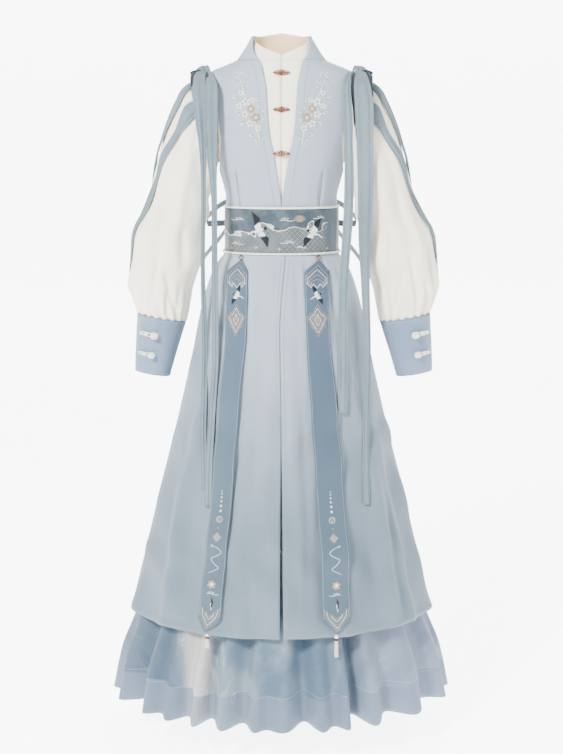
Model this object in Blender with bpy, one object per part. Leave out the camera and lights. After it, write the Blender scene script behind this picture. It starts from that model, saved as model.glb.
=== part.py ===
import math

import bpy
import numpy as np
from mathutils.bvhtree import BVHTree

# A three-layer dress set, worn and hollow: blouse, skirt, and a long open-necked vest over both.
# Metres. Up is +Z, the front faces -Y, +X is the wearer's left. The origin is the middle of
# the shoulder line at the base of the neck, where a body or a stand carries the set.

MM = 0.001

# sizes that drive the form
CLOTH = 1.5 * MM
THIN_CLOTH = 1.1 * MM
SEAM = 0.36 * MM
NECK_Z = 0.0
BELT_TOP = -0.2890
BELT_BOTTOM = -0.3745
VEST_HEM = -1.106
SKIRT_HEM = -1.286
SKIRT_TOP = -0.2890
WAISTBAND_HEIGHT = 0.025
BLOUSE_HEM = -0.3460

# distance of each layer from the vest's outer face, outward positive
VEST_OUT, VEST_IN = 0.0, -CLOTH
SKIRT_OUT = -2.3 * MM
BLOUSE_OUT = -4.8 * MM
BELT_IN, BELT_OUT = 0.7 * MM, 2.6 * MM
PIPING_RADIUS = 2.1 * MM

# outer face of the worn set, from the hem of the skirt up to the neck
FORM = (
    # z, half width, front depth, back depth, roundness
    (-1.300, 0.3590, 0.2900, 0.2950, 2.00),
    (-1.200, 0.3385, 0.2700, 0.2780, 2.00),
    (-1.106, 0.3065, 0.2500, 0.2570, 2.00),
    (-1.030, 0.2875, 0.2430, 0.2480, 2.00),
    (-0.932, 0.2640, 0.2280, 0.2350, 2.00),
    (-0.831, 0.2400, 0.2100, 0.2180, 2.00),
    (-0.731, 0.2150, 0.1920, 0.2000, 2.02),
    (-0.640, 0.1940, 0.1740, 0.1800, 2.04),
    (-0.578, 0.1800, 0.1600, 0.1650, 2.06),
    (-0.516, 0.1680, 0.1440, 0.1500, 2.08),
    (-0.456, 0.1530, 0.1290, 0.1340, 2.10),
    (-0.415, 0.1385, 0.1140, 0.1170, 2.15),
    (-0.395, 0.1265, 0.1030, 0.1060, 2.15),
    (-0.380, 0.1150, 0.0925, 0.0940, 2.20),
    (-0.365, 0.1114, 0.0893, 0.0890, 2.20),
    (-0.330, 0.1112, 0.0880, 0.0860, 2.20),
    (-0.290, 0.1112, 0.0890, 0.0860, 2.20),
    (-0.270, 0.1112, 0.0930, 0.0880, 2.20),
    (-0.237, 0.1180, 0.1010, 0.0930, 2.20),
    (-0.200, 0.1290, 0.1065, 0.0990, 2.20),
    (-0.160, 0.1380, 0.1065, 0.1020, 2.20),
    (-0.117, 0.1475, 0.0990, 0.1010, 2.20),
    (-0.080, 0.1540, 0.0880, 0.0960, 2.20),
    (-0.050, 0.1590, 0.0770, 0.0880, 2.20),
    (-0.034, 0.1560, 0.0700, 0.0820, 2.20),
    (-0.026, 0.1460, 0.0665, 0.0790, 2.20),
    (-0.016, 0.1260, 0.0630, 0.0750, 2.20),
    (-0.008, 0.1060, 0.0600, 0.0710, 2.20),
    (0.000, 0.0880, 0.0580, 0.0680, 2.20),
    (0.012, 0.0760, 0.0540, 0.0650, 2.20),
)

# half opening of the vest at the front, and where the middle line wanders as the edges overlap
VEST_EDGE = (
    # z, half opening
    (-1.106, 0.0036),
    (-0.900, 0.0022),
    (-0.680, 0.0004),
    (-0.280, 0.0004),
    (-0.257, 0.0030),
    (-0.220, 0.0092),
    (-0.184, 0.0145),
    (-0.160, 0.0205),
    (-0.140, 0.0240),
    (-0.092, 0.0280),
    (-0.054, 0.0302),
    (-0.040, 0.0329),
    (-0.014, 0.0378),
    (0.001, 0.0437),
)
VEST_MIDDLE = (
    # z, x of the line where the edges meet
    (-1.106, 0.0000),
    (-0.680, -0.0010),
    (-0.520, -0.0030),
    (-0.430, 0.0030),
    (-0.385, 0.0075),
    (-0.340, 0.0040),
    (-0.280, 0.0000),
    (0.001, 0.0000),
)

# columns of points across a front panel and a back panel
VEST_COLUMNS = (10, 17)
BLOUSE_COLUMNS = (7, 13)

# armholes as ovals on the form: middle height, half height, half width as an angle
VEST_ARMHOLE = {"middle": -0.1250, "half_height": 0.0950, "half_angle": math.radians(36.0)}
BLOUSE_ARMHOLE = {"middle": -0.1180, "half_height": 0.0820, "half_angle": math.radians(30.0)}
SLEEVE_START = {"middle": -0.1180, "half_height": 0.0792, "half_angle": math.radians(28.2)}

# long shallow troughs in the vest, as it hangs from the belt
VEST_FOLDS = (
    # angle, width, depth, top z, foot z, all angles in degrees
    (25.0, 5.0, 0.0020, -0.385, -0.520),
    (40.0, 5.5, 0.0025, -0.385, -0.640),
    (-44.0, 5.5, 0.0022, -0.385, -0.600),
    (-58.0, 9.0, 0.0060, -0.560, -1.200),
    (-36.0, 6.0, 0.0040, -0.640, -1.200),
    (16.0, 6.0, 0.0040, -0.700, -1.200),
    (40.0, 7.0, 0.0055, -0.600, -1.200),
    (66.0, 9.0, 0.0060, -0.560, -1.200),
    (100.0, 8.0, 0.0055, -0.560, -1.200),
    (124.0, 8.0, 0.0060, -0.500, -1.200),
    (150.0, 8.0, 0.0055, -0.450, -1.200),
    (176.0, 8.0, 0.0060, -0.420, -1.200),
    (204.0, 8.0, 0.0055, -0.450, -1.200),
    (232.0, 8.0, 0.0060, -0.500, -1.200),
    (258.0, 8.0, 0.0055, -0.560, -1.200),
)

# folds of the skirt's front at its hem, left to right as seen from the front
SKIRT_FRONT_FOLDS = (
    # ridge angle, valley angle, valley depth
    (-88.0, -80.0, 0.016),
    (-71.0, -61.0, 0.046),
    (-52.0, -46.0, 0.022),
    (-40.5, -34.5, 0.034),
    (-29.5, -25.5, 0.040),
    (-19.5, -13.0, 0.036),
    (-8.5, -4.5, 0.014),
    (0.5, 8.0, 0.044),
    (13.5, 18.0, 0.018),
    (22.0, 26.8, 0.056),
    (31.5, 41.0, 0.040),
    (51.5, 64.0, 0.040),
    (75.5, 82.0, 0.016),
)
SKIRT_BACK_FOLDS = 13
SKIRT_BACK_DEPTHS = (0.030, 0.040, 0.026, 0.044, 0.034)
SKIRT_FOLD_GROWTH = (
    # z, share of the depth
    (-1.286, 1.00),
    (-1.200, 0.86),
    (-1.106, 0.62),
    (-0.900, 0.38),
    (-0.600, 0.16),
    (-0.400, 0.00),
)

# sections of a sleeve down the arm, each from its outer or top point to its inner point
SLEEVE = (
    # place, outer x, outer z, inner x, inner z, half depth, middle y
    (0.00, 0.1600, -0.0380, 0.1250, -0.2000, 0.0520, 0.002),
    (0.10, 0.1850, -0.0420, 0.1330, -0.2170, 0.0590, 0.001),
    (0.20, 0.2060, -0.0800, 0.1370, -0.2440, 0.0620, 0.000),
    (0.32, 0.2320, -0.1540, 0.1430, -0.2700, 0.0620, -0.002),
    (0.44, 0.2580, -0.2300, 0.1500, -0.3000, 0.0610, -0.004),
    (0.56, 0.2770, -0.3000, 0.1565, -0.3380, 0.0620, -0.008),
    (0.68, 0.3000, -0.3560, 0.1610, -0.3780, 0.0670, -0.012),
    (0.80, 0.3110, -0.4100, 0.1710, -0.4160, 0.0690, -0.016),
    (0.88, 0.3110, -0.4410, 0.1810, -0.4560, 0.0650, -0.019),
    (0.95, 0.3030, -0.4720, 0.1900, -0.4900, 0.0580, -0.021),
    (1.00, 0.2930, -0.4955, 0.1960, -0.5125, 0.0480, -0.022),
)
SLEEVE_REACH = {"l": 1.012, "r": 0.982}
SLEEVE_GATHERS = 18
GATHER_DEPTH = 2.6 * MM
CUFF_TOP_Z, CUFF_BOTTOM_Z = -0.5060, -0.6235
CUFF_SLOPE, CUFF_MIDDLE_X = 0.17, 0.245
CUFF = {"top_out": 0.2955, "top_in": 0.1950, "foot_out": 0.3010, "foot_in": 0.2290,
        "top_depth": 0.0490, "foot_depth": 0.0360, "y": -0.0220}

COLLAR = {
    # half width, front depth and back depth of the top, and the height of the top at
    # the front, side and back
    "vest": {"size": (0.0585, 0.0500, 0.0620), "height": (0.0440, 0.0470, 0.0500)},
    "blouse": {"size": (0.0535, 0.0450, 0.0560), "height": (0.0080, 0.0400, 0.0560)},
}

# the two decorated bands that hang down the front
STREAMER_L = (
    # z, middle x, width
    (-0.3905, 0.0722, 0.006),
    (-0.4150, 0.0680, 0.048),
    (-0.5230, 0.0697, 0.045),
    (-0.6000, 0.0755, 0.049),
    (-0.6960, 0.0810, 0.050),
    (-0.8020, 0.0886, 0.052),
    (-0.9000, 0.0950, 0.053),
    (-1.0300, 0.1020, 0.053),
    (-1.0700, 0.1025, 0.053),
    (-1.0980, 0.1045, 0.008),
)
STREAMER_R = (
    # z, middle x, width
    (-0.3905, -0.0780, 0.006),
    (-0.4150, -0.0842, 0.041),
    (-0.5230, -0.0870, 0.042),
    (-0.6000, -0.0925, 0.039),
    (-0.6960, -0.1002, 0.039),
    (-0.8020, -0.1078, 0.039),
    (-0.9000, -0.1170, 0.039),
    (-1.0300, -0.1308, 0.042),
    (-1.0700, -0.1350, 0.043),
    (-1.0980, -0.1430, 0.007),
)

CLASP_HEIGHTS = (
    # z, width
    (-0.026, 0.033),
    (-0.097, 0.034),
    (-0.181, 0.034),
)
CLASP_THICKNESS = 2.4 * MM


def smooth(value, table, column):
    """Smooth curve through one column of a table whose first column rises or falls."""
    rows = sorted(table)
    xs = np.array([row[0] for row in rows])
    ys = np.array([row[column] for row in rows])
    steps = np.diff(xs)
    rates = np.diff(ys) / steps
    slopes = np.zeros(len(xs))
    slopes[0], slopes[-1] = rates[0], rates[-1]
    for i in range(1, len(xs) - 1):
        if rates[i - 1] * rates[i] > 0:
            ahead = 2 * steps[i] + steps[i - 1]
            behind = steps[i] + 2 * steps[i - 1]
            slopes[i] = (ahead + behind) / (ahead / rates[i - 1] + behind / rates[i])
    value = np.clip(np.asarray(value, dtype=float), xs[0], xs[-1])
    k = np.clip(np.searchsorted(xs, value, side="right") - 1, 0, len(xs) - 2)
    t = (value - xs[k]) / steps[k]
    return (ys[k] * (1 + 2 * t) * (1 - t) ** 2 + slopes[k] * steps[k] * t * (1 - t) ** 2
            + ys[k + 1] * t * t * (3 - 2 * t) + slopes[k + 1] * steps[k] * t * t * (t - 1))


def ease(value, start, end):
    """0 before start, 1 after end, smooth between."""
    t = np.clip((np.asarray(value, dtype=float) - start) / (end - start), 0.0, 1.0)
    return t * t * (3 - 2 * t)


def oval(angle, half_width, front, back, roundness):
    """Plan of a ring: angle 0 is the front middle, a quarter turn is the wearer's left."""
    s, c = np.sin(angle), np.cos(angle)
    r = (np.abs(s) ** roundness + np.abs(c) ** roundness) ** (-1.0 / roundness)
    return half_width * r * s, -np.where(c > 0, front, back) * r * c


def form(angle, z):
    """A point of the plain worn form, without folds."""
    x, y = oval(angle, smooth(z, FORM, 1), smooth(z, FORM, 2), smooth(z, FORM, 3),
                smooth(z, FORM, 4))
    return np.stack([x, y, np.asarray(z, dtype=float) + 0 * x], axis=-1)


def normals(surface, a, b, step_a=0.004, step_b=0.0006):
    """Outward normals of a surface given as a function of two values."""
    along_a = surface(a + step_a, b) - surface(a - step_a, b)
    along_b = surface(a, b + step_b) - surface(a, b - step_b)
    n = np.cross(along_a, along_b)
    return n / np.linalg.norm(n, axis=-1, keepdims=True)


def layer(angle, z, out):
    """A point of the form moved out by a distance."""
    angle = np.asarray(angle, dtype=float)
    z = np.asarray(z, dtype=float) + 0 * angle
    return form(angle, z) + normals(form, angle, z) * np.asarray(out)[..., None]


def vest_trough(angle, z):
    """Depth of the vest's folds at a place."""
    depth = 0 * (angle + z)
    for middle, width, deep, top, foot in VEST_FOLDS:
        turn = np.degrees(np.angle(np.exp(1j * (angle - math.radians(middle)))))
        shape = np.exp(-(turn / width) ** 2)
        if foot < -1.15:
            shape = shape * ease(z, top, VEST_HEM)
        else:
            shape = shape * ease(z, top + 0.006, top - 0.02) * ease(z, foot, foot + 0.07)
        depth = depth + deep * shape
    return depth


def vest(angle, z, out=0.0):
    """A point of the vest's outer face with its folds, moved out by a distance."""
    angle = np.asarray(angle, dtype=float)
    z = np.asarray(z, dtype=float) + 0 * angle
    swell = 0.0035 * ease(z, -0.56, VEST_HEM)
    return layer(angle, z, swell - vest_trough(angle, z) * 0.8 + out)


def angle_at(x, z):
    """The angle of the form's front where it stands at x."""
    q = np.clip(np.asarray(x) / smooth(z, FORM, 1), -0.9999, 0.9999)
    roundness = smooth(z, FORM, 4)
    p = (1 - np.abs(q) ** roundness) ** (1 / roundness)
    return np.arctan2(q, p)


def skirt_folds():
    """Ridge and valley angles all the way round, with the depth of each."""
    marks = []
    for ridge, valley, depth in SKIRT_FRONT_FOLDS:
        marks.append((ridge, 0.0))
        marks.append((valley, depth))
    step = 180.0 / SKIRT_BACK_FOLDS
    for i in range(SKIRT_BACK_FOLDS):
        sway = 2.2 * math.sin(2.4 * i)
        marks.append((92.0 + step * i + sway * (i > 0), 0.0))
        marks.append((92.0 + step * (i + 0.5) + sway * 0.5,
                      SKIRT_BACK_DEPTHS[i % len(SKIRT_BACK_DEPTHS)]))
    return marks


SKIRT_MARKS = skirt_folds()


def skirt_inset(angle):
    """How far the hem of the skirt is drawn in at an angle."""
    degrees = np.degrees(np.asarray(angle, dtype=float))
    degrees = np.mod(degrees + 88.0, 360.0) - 88.0
    where = np.array([m[0] for m in SKIRT_MARKS] + [SKIRT_MARKS[0][0] + 360.0])
    deep = np.array([m[1] for m in SKIRT_MARKS] + [SKIRT_MARKS[0][1]])
    k = np.clip(np.searchsorted(where, degrees, side="right") - 1, 0, len(where) - 2)
    t = np.clip((degrees - where[k]) / (where[k + 1] - where[k]), 0, 1)
    t = 0.5 - 0.5 * np.cos(math.pi * t)
    return deep[k] * (1 - t) + deep[k + 1] * t


def skirt(angle, z):
    """A point of the skirt's outer face; its folds only go inward from the vest."""
    angle = np.asarray(angle, dtype=float)
    z = np.asarray(z, dtype=float) + 0 * angle
    inset = skirt_inset(angle) * smooth(z, SKIRT_FOLD_GROWTH, 1)
    clear = SKIRT_OUT - 0.0066 * ease(z, -0.350, -0.395) + 0.0035 * ease(z, -1.12, -1.2)
    point = layer(angle, z, clear - inset)
    point[..., 2] = z + inset * 0.16 * ease(z, -1.1, SKIRT_HEM)
    return point


def wall(name, outer, inner, closed=False):
    """A closed sheet between two grids of points; closed joins its last column to the first."""
    rows, cols = outer.shape[:2]
    points = np.concatenate([outer.reshape(-1, 3), inner.reshape(-1, 3)])
    shift = rows * cols
    spans = cols if closed else cols - 1
    faces = []
    for i in range(rows - 1):
        for j in range(spans):
            a = i * cols + j
            b = i * cols + (j + 1) % cols
            c, d = b + cols, a + cols
            faces.append((a, b, c))
            faces.append((a, c, d))
            faces.append((b + shift, a + shift, c + shift))
            faces.append((c + shift, a + shift, d + shift))
    for j in range(spans):
        for i, turn in ((0, 1), (rows - 1, -1)):
            a = i * cols + j
            b = i * cols + (j + 1) % cols
            faces.append((b, a, a + shift)[::turn])
            faces.append((b, a + shift, b + shift)[::turn])
    if not closed:
        for i in range(rows - 1):
            for j, turn in ((0, -1), (cols - 1, 1)):
                a, d = i * cols + j, (i + 1) * cols + j
                faces.append((d, a, a + shift)[::turn])
                faces.append((d, a + shift, d + shift)[::turn])
    return solid(name, points, faces)


def volume(points, faces):
    tri = np.array(points)[np.array(faces)]
    return float(np.einsum("ij,ij->i", tri[:, 0], np.cross(tri[:, 1], tri[:, 2])).sum() / 6)


def solid(name, points, faces):
    """A named node from points and triangles, turned so that its faces look out."""
    points = np.asarray(points)
    if volume(points, faces) < 0:
        faces = [face[::-1] for face in faces]
    mesh = bpy.data.meshes.new(name)
    mesh.from_pydata([tuple(p) for p in points], [], faces)
    for polygon in mesh.polygons:
        polygon.use_smooth = True
    mesh.update()
    obj = bpy.data.objects.new(name, mesh)
    garment.objects.link(obj)
    return obj


def distance(obj, others):
    """Least distance between a node and any of the others, corner to face both ways."""
    def tree(o):
        corners = [v.co.copy() for v in o.data.vertices]
        return BVHTree.FromPolygons(corners, [tuple(p.vertices) for p in o.data.polygons])
    own = tree(obj)
    least = 1.0
    for other in others:
        theirs = tree(other)
        for vertex in obj.data.vertices:
            least = min(least, theirs.find_nearest(vertex.co)[3])
        for vertex in other.data.vertices:
            least = min(least, own.find_nearest(vertex.co)[3])
    return least


def settle(name, seats, direction, rest=0.40 * MM):
    """Moves a node along a direction until it lies at its rest distance from its seats."""
    obj = garment.objects[name]
    others = [garment.objects[seat] for seat in seats]
    direction = np.array(direction, dtype=float)
    direction = direction / np.linalg.norm(direction)
    for _ in range(7):
        move = distance(obj, others) - rest
        for vertex in obj.data.vertices:
            vertex.co += type(vertex.co)(direction * move)
    print("settled", name, round(distance(obj, others) * 1000, 2), "mm")


def paint(obj, colour, metallic=0.0, roughness=0.8):
    material = bpy.data.materials.new(obj.name)
    material.use_nodes = True
    shader = material.node_tree.nodes["Principled BSDF"]
    shader.inputs["Base Color"].default_value = (*colour, 1.0)
    shader.inputs["Metallic"].default_value = metallic
    shader.inputs["Roughness"].default_value = roughness
    obj.data.materials.append(material)


def grid_normals(grid):
    """Normals of a grid of points; either side may be the outer one."""
    along = np.gradient(grid, axis=0)
    across = np.gradient(grid, axis=1)
    n = np.cross(across, along)
    return n / np.linalg.norm(n, axis=-1, keepdims=True)


def sheet_wall(name, grid, thickness):
    n = grid_normals(grid)
    return wall(name, grid + n * thickness / 2, grid - n * thickness / 2)


def band(name, centres, across, widths, thickness, columns=3):
    """A strip of cloth along a path: across gives the direction of its width at each place."""
    centres, across = np.array(centres), np.array(across)
    across = across / np.linalg.norm(across, axis=1, keepdims=True)
    share = np.linspace(-0.5, 0.5, columns)
    grid = (centres[:, None, :]
            + across[:, None, :] * (np.array(widths)[:, None] * share[None, :])[..., None])
    return sheet_wall(name, grid, thickness)


def tube(name, ring_centres, ring_normals, ups, radius, sides, closed):
    """A round cord along a path; ups is a second direction square to the path."""
    turns = np.arange(sides) * 2 * math.pi / sides
    rings = (ring_centres[:, None, :]
             + (ring_normals[:, None, :] * np.cos(turns)[None, :, None]
                + ups[:, None, :] * np.sin(turns)[None, :, None]) * radius)
    count = len(ring_centres)
    faces = []
    spans = count if closed else count - 1
    for i in range(spans):
        for j in range(sides):
            a = i * sides + j
            b = i * sides + (j + 1) % sides
            c = ((i + 1) % count) * sides + (j + 1) % sides
            d = ((i + 1) % count) * sides + j
            faces.append((a, b, c))
            faces.append((a, c, d))
    if not closed:
        last = (count - 1) * sides
        for j in range(1, sides - 1):
            faces.append((0, j + 1, j))
            faces.append((last, last + j, last + j + 1))
    return solid(name, rings.reshape(-1, 3), faces)


def turned(name, origin, axis, up, profile, sides):
    """A round piece along an axis from (distance, radius) rows, pointed at both ends."""
    axis, up = np.array(axis, float), np.array(up, float)
    axis = axis / np.linalg.norm(axis)
    up = up - axis * np.dot(up, axis)
    up = up / np.linalg.norm(up)
    third = np.cross(axis, up)
    points = [np.array(origin) + axis * profile[0][0]]
    for distance, radius in profile[1:-1]:
        for j in range(sides):
            turn = 2 * math.pi * j / sides
            points.append(np.array(origin) + axis * distance
                          + (up * math.cos(turn) + third * math.sin(turn)) * radius)
    points.append(np.array(origin) + axis * profile[-1][0])
    faces = []
    rings = len(profile) - 2
    for j in range(sides):
        k = (j + 1) % sides
        faces.append((0, 1 + k, 1 + j))
        for i in range(rings - 1):
            a, b = 1 + i * sides + j, 1 + i * sides + k
            faces.append((a, b, b + sides))
            faces.append((a, b + sides, a + sides))
        tail = 1 + (rings - 1) * sides
        faces.append((tail + j, tail + k, len(points) - 1))
    return solid(name, points, faces)


def edge_angle(z, side):
    """The angle of the vest's front edge; side is 1 for the wearer's left, -1 for the right."""
    x = smooth(z, VEST_EDGE, 1) + side * smooth(z, VEST_MIDDLE, 1)
    return angle_at(x, z)


def armhole_angle(z, armhole):
    """The angle of a panel's side edge: the side seam, or the armhole's edge where it is cut."""
    height = np.clip((z - armhole["middle"]) / armhole["half_height"], -1.0, 1.0)
    return math.pi / 2 - armhole["half_angle"] * np.sqrt(1 - height * height)


def panel_rows(foot_rows, armhole, steps, top_rows):
    """Heights of a bodice panel's rows, closer together where the armhole turns."""
    turn = np.cos(np.linspace(math.pi, 0.0, steps + 1))
    arm_rows = armhole["middle"] + armhole["half_height"] * turn
    return np.array(list(foot_rows) + list(arm_rows) + list(top_rows))


def front_panel(rows, columns, start, armhole):
    """Angles and heights of a front panel, from its front edge out to its side edge."""
    z = np.repeat(rows[:, None], columns, axis=1)
    side = armhole_angle(rows, armhole) - SEAM / 2 / smooth(rows, FORM, 1)
    share = np.linspace(0.0, 1.0, columns)[None, :]
    angle = start[:, None] * (1 - share) + side[:, None] * share
    return angle, z


def vest_panels():
    foot = (VEST_HEM, -1.050, -0.960, -0.860, -0.750, -0.640, -0.540, -0.460, -0.415, -0.395,
            -0.3755, -0.340, -0.288, -0.262)
    rows = panel_rows(foot, VEST_ARMHOLE, 7, (-0.021, -0.011, NECK_Z))
    for name, side in (("vest_front_l", 1), ("vest_front_r", -1)):
        angle, z = front_panel(rows, VEST_COLUMNS[0], edge_angle(rows, side), VEST_ARMHOLE)
        angle = angle * side
        paint(wall(name, vest(angle, z, VEST_OUT), vest(angle, z, VEST_IN)), (0.50, 0.57, 0.67))
    angle, z = back_panel(rows, VEST_COLUMNS[1], VEST_ARMHOLE)
    paint(wall("vest_back", vest(angle, z, VEST_OUT), vest(angle, z, VEST_IN)),
          (0.50, 0.57, 0.67))


def back_panel(rows, columns, armhole):
    """Angles and heights of a back panel, from one side edge round to the other."""
    z = np.repeat(rows[:, None], columns, axis=1)
    side = armhole_angle(rows, armhole) - SEAM / 2 / smooth(rows, FORM, 1)
    share = np.linspace(-1.0, 1.0, columns)[None, :]
    return math.pi + side[:, None] * share, z


def blouse_panels():
    foot = (BLOUSE_HEM, -0.288, -0.245)
    rows = panel_rows(foot, BLOUSE_ARMHOLE, 6, (-0.020, NECK_Z))
    inner = BLOUSE_OUT - THIN_CLOTH
    for name, side in (("blouse_front_l", 1), ("blouse_front_r", -1)):
        angle, z = front_panel(rows, BLOUSE_COLUMNS[0], angle_at(SEAM / 2 + 0 * rows, rows),
                               BLOUSE_ARMHOLE)
        angle = angle * side
        paint(wall(name, layer(angle, z, BLOUSE_OUT), layer(angle, z, inner)),
              (0.86, 0.84, 0.79))
    angle, z = back_panel(rows, BLOUSE_COLUMNS[1], BLOUSE_ARMHOLE)
    paint(wall("blouse_back", layer(angle, z, BLOUSE_OUT), layer(angle, z, inner)),
          (0.86, 0.84, 0.79))


def collar(name, foot_out, front_foot, front_top, thickness, front_columns, back_columns,
           colour):
    """A standing collar from the neck edge up and in, open at the front."""
    size, height = COLLAR[name.split("_")[0]]["size"], COLLAR[name.split("_")[0]]["height"]
    heights = ((0.0, height[0]), (math.pi / 2, height[1]), (math.pi, height[2]))
    rise = np.array([0.0, 0.4, 1.0])
    half = np.linspace(math.pi / 2, math.pi, (back_columns + 1) // 2)

    def grid(inset):
        rows = []
        for r in rise:
            front = front_foot * (1 - r) + front_top * r
            quarter = np.linspace(front, math.pi / 2, front_columns)
            angle = np.concatenate([quarter, half[1:]])
            angle = np.concatenate([angle, 2 * math.pi - angle[-2::-1]])
            level = 0 * angle + NECK_Z
            foot = layer(angle, level, foot_out - inset)
            upward = form(angle, level + MM) - form(angle, level)
            foot += upward / np.linalg.norm(upward, axis=-1, keepdims=True) * SEAM
            x, y = oval(angle, size[0] - inset, size[1] - inset, size[2] - inset, 2.2)
            away = np.abs(np.angle(np.exp(1j * angle)))
            top = np.stack([x, y, smooth(away, heights, 1)], axis=-1)
            bow = 0.0020 * math.sin(math.pi * r)
            point = foot * (1 - r) + top * r
            point[..., 2] -= bow
            rows.append(point)
        return np.array(rows)

    paint(wall(name, grid(0.0), grid(thickness)), colour)


def sleeve(place, turn, out=0.0, gathers=0.0):
    """A point of the wearer's left sleeve: turn 0 is outer or top, a quarter turn the front."""

    def surface(p, t):
        outer_x, outer_z = smooth(p, SLEEVE, 1), smooth(p, SLEEVE, 2)
        inner_x, inner_z = smooth(p, SLEEVE, 3), smooth(p, SLEEVE, 4)
        depth, y = smooth(p, SLEEVE, 5), smooth(p, SLEEVE, 6)
        c, s = np.cos(t), np.sin(t)
        point = np.stack([(outer_x + inner_x) / 2 + (outer_x - inner_x) / 2 * c,
                          y - depth * s,
                          (outer_z + inner_z) / 2 + (outer_z - inner_z) / 2 * c], axis=-1)
        hole = SLEEVE_START
        start = layer(math.pi / 2 - hole["half_angle"] * s,
                      hole["middle"] + hole["half_height"] * c, BLOUSE_OUT + 0 * c)
        blend = ease(p, 0.0, 0.17)[..., None]
        return start * (1 - blend) + point * blend

    place = np.asarray(place, dtype=float) + 0 * np.asarray(turn, dtype=float)
    turn = np.asarray(turn, dtype=float) + 0 * place
    n = -normals(surface, np.clip(place, 0.004, 0.996), turn, 0.004, 0.01)
    ripple = GATHER_DEPTH * np.cos(turn * SLEEVE_GATHERS) * (
        ease(place, 0.82, 0.97) + 0.55 * ease(place, 0.30, 0.10) * ease(place, 0.0, 0.06))
    sag = 0.0035 * np.sin(place * 21.0 + 1.4 * np.cos(turn)) * ease(place, 0.15, 0.4) \
        * ease(place, 0.97, 0.85)
    return surface(place, turn) + n * np.asarray(out + ripple * gathers + sag)[..., None]


def to_side(points, side):
    """Moves points made for the wearer's left to one side, with that side's reach."""
    points = np.array(points)
    reach = 1 + (SLEEVE_REACH[side] - 1) * ease(points[..., 2], -0.20, -0.40)
    points[..., 0] *= reach * (1 if side == "l" else -1)
    return points


def sleeves():
    places = np.array([0.0, 0.035, 0.10, 0.20, 0.34, 0.49, 0.63, 0.76, 0.87, 0.95, 1.0])
    turns = np.arange(2 * SLEEVE_GATHERS) * math.pi / SLEEVE_GATHERS
    place, turn = np.meshgrid(places, turns, indexing="ij")
    for side in ("l", "r"):
        outer = sleeve(place, turn, 0.0, 1.0)
        inner = sleeve(place, turn, -THIN_CLOTH * 1.15, 1.0)
        for sheet in (outer, inner):
            sheet[-1, :, 2] = CUFF_TOP_Z + SEAM + CUFF_SLOPE * (sheet[-1, :, 0] - CUFF_MIDDLE_X)
        outer, inner = to_side(outer, side), to_side(inner, side)
        paint(wall("blouse_sleeve_" + side, outer, inner, closed=True), (0.86, 0.84, 0.79))


def cuff(rise, turn, out=0.0):
    """A point of the wearer's left cuff: rise 0 is its foot, 1 its top."""
    rise, turn = np.asarray(rise, dtype=float), np.asarray(turn, dtype=float)
    outer = CUFF["foot_out"] * (1 - rise) + CUFF["top_out"] * rise
    inner = CUFF["foot_in"] * (1 - rise) + CUFF["top_in"] * rise
    depth = CUFF["foot_depth"] * (1 - rise) + CUFF["top_depth"] * rise
    z = CUFF_BOTTOM_Z * (1 - rise) + CUFF_TOP_Z * rise
    x = (outer + inner) / 2 + ((outer - inner) / 2 + out) * np.cos(turn)
    y = CUFF["y"] - (depth + out) * np.sin(turn)
    return np.stack([x, y, z + CUFF_SLOPE * (x - CUFF_MIDDLE_X)], axis=-1)


def cuffs():
    rise, turn = np.meshgrid(np.linspace(0, 1, 4), np.arange(20) * math.pi / 10, indexing="ij")
    for side in ("l", "r"):
        outer = to_side(cuff(rise, turn, 0.0), side)
        inner = to_side(cuff(rise, turn, -CLOTH), side)
        paint(wall("blouse_cuff_" + side, outer, inner, closed=True), (0.36, 0.43, 0.54))


def skirt_panel(name, marks):
    """One half of the skirt, with a column at each ridge and each valley."""
    degrees = list(marks)
    gap = math.degrees(SEAM / 2 / 0.11)
    degrees[0] += gap
    degrees[-1] -= gap
    rows = np.array([SKIRT_HEM, -1.215, -1.140, -1.060, -0.900, -0.750, -0.640, -0.540,
                     -0.460, -0.415, -0.395, -0.3755, -0.340,
                     SKIRT_TOP - WAISTBAND_HEIGHT - SEAM])
    z, angle = np.meshgrid(rows, np.radians(degrees), indexing="ij")
    outer = skirt(angle, z)
    thickness = THIN_CLOTH + (CLOTH - THIN_CLOTH) * ease(z, -0.33, -0.40)
    inner = outer - normals(skirt, angle, z) * thickness[..., None]
    inner[0, :, 2] = outer[0, :, 2]
    inner[-1, :, 2] = outer[-1, :, 2]
    paint(wall(name, outer, inner), (0.70, 0.71, 0.72))


def skirt_pieces():
    front = [m[0] for m in SKIRT_MARKS if m[0] < 91.0]
    back = [m[0] for m in SKIRT_MARKS if m[0] > 91.0]
    skirt_panel("skirt_front", [-90.0] + front[1:] + [90.0])
    skirt_panel("skirt_back", [90.0] + back[1:] + [270.0])
    turn = ring_turns()
    rows = np.array([SKIRT_TOP - WAISTBAND_HEIGHT, SKIRT_TOP])
    z, angle = np.meshgrid(rows, turn, indexing="ij")
    paint(wall("skirt_waistband", layer(angle, z, SKIRT_OUT),
               layer(angle, z, SKIRT_OUT - 1.2 * MM), closed=True), (0.70, 0.71, 0.72))


def ring_turns():
    """Angles of a whole ring, at the columns of the vest's panels under it."""
    front = np.linspace(0.0, math.pi / 2, VEST_COLUMNS[0])[:-1]
    back = np.linspace(math.pi / 2, math.pi, (VEST_COLUMNS[1] + 1) // 2)
    half = np.concatenate([front, back])
    return np.concatenate([half, 2 * math.pi - half[-2:0:-1]])


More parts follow.
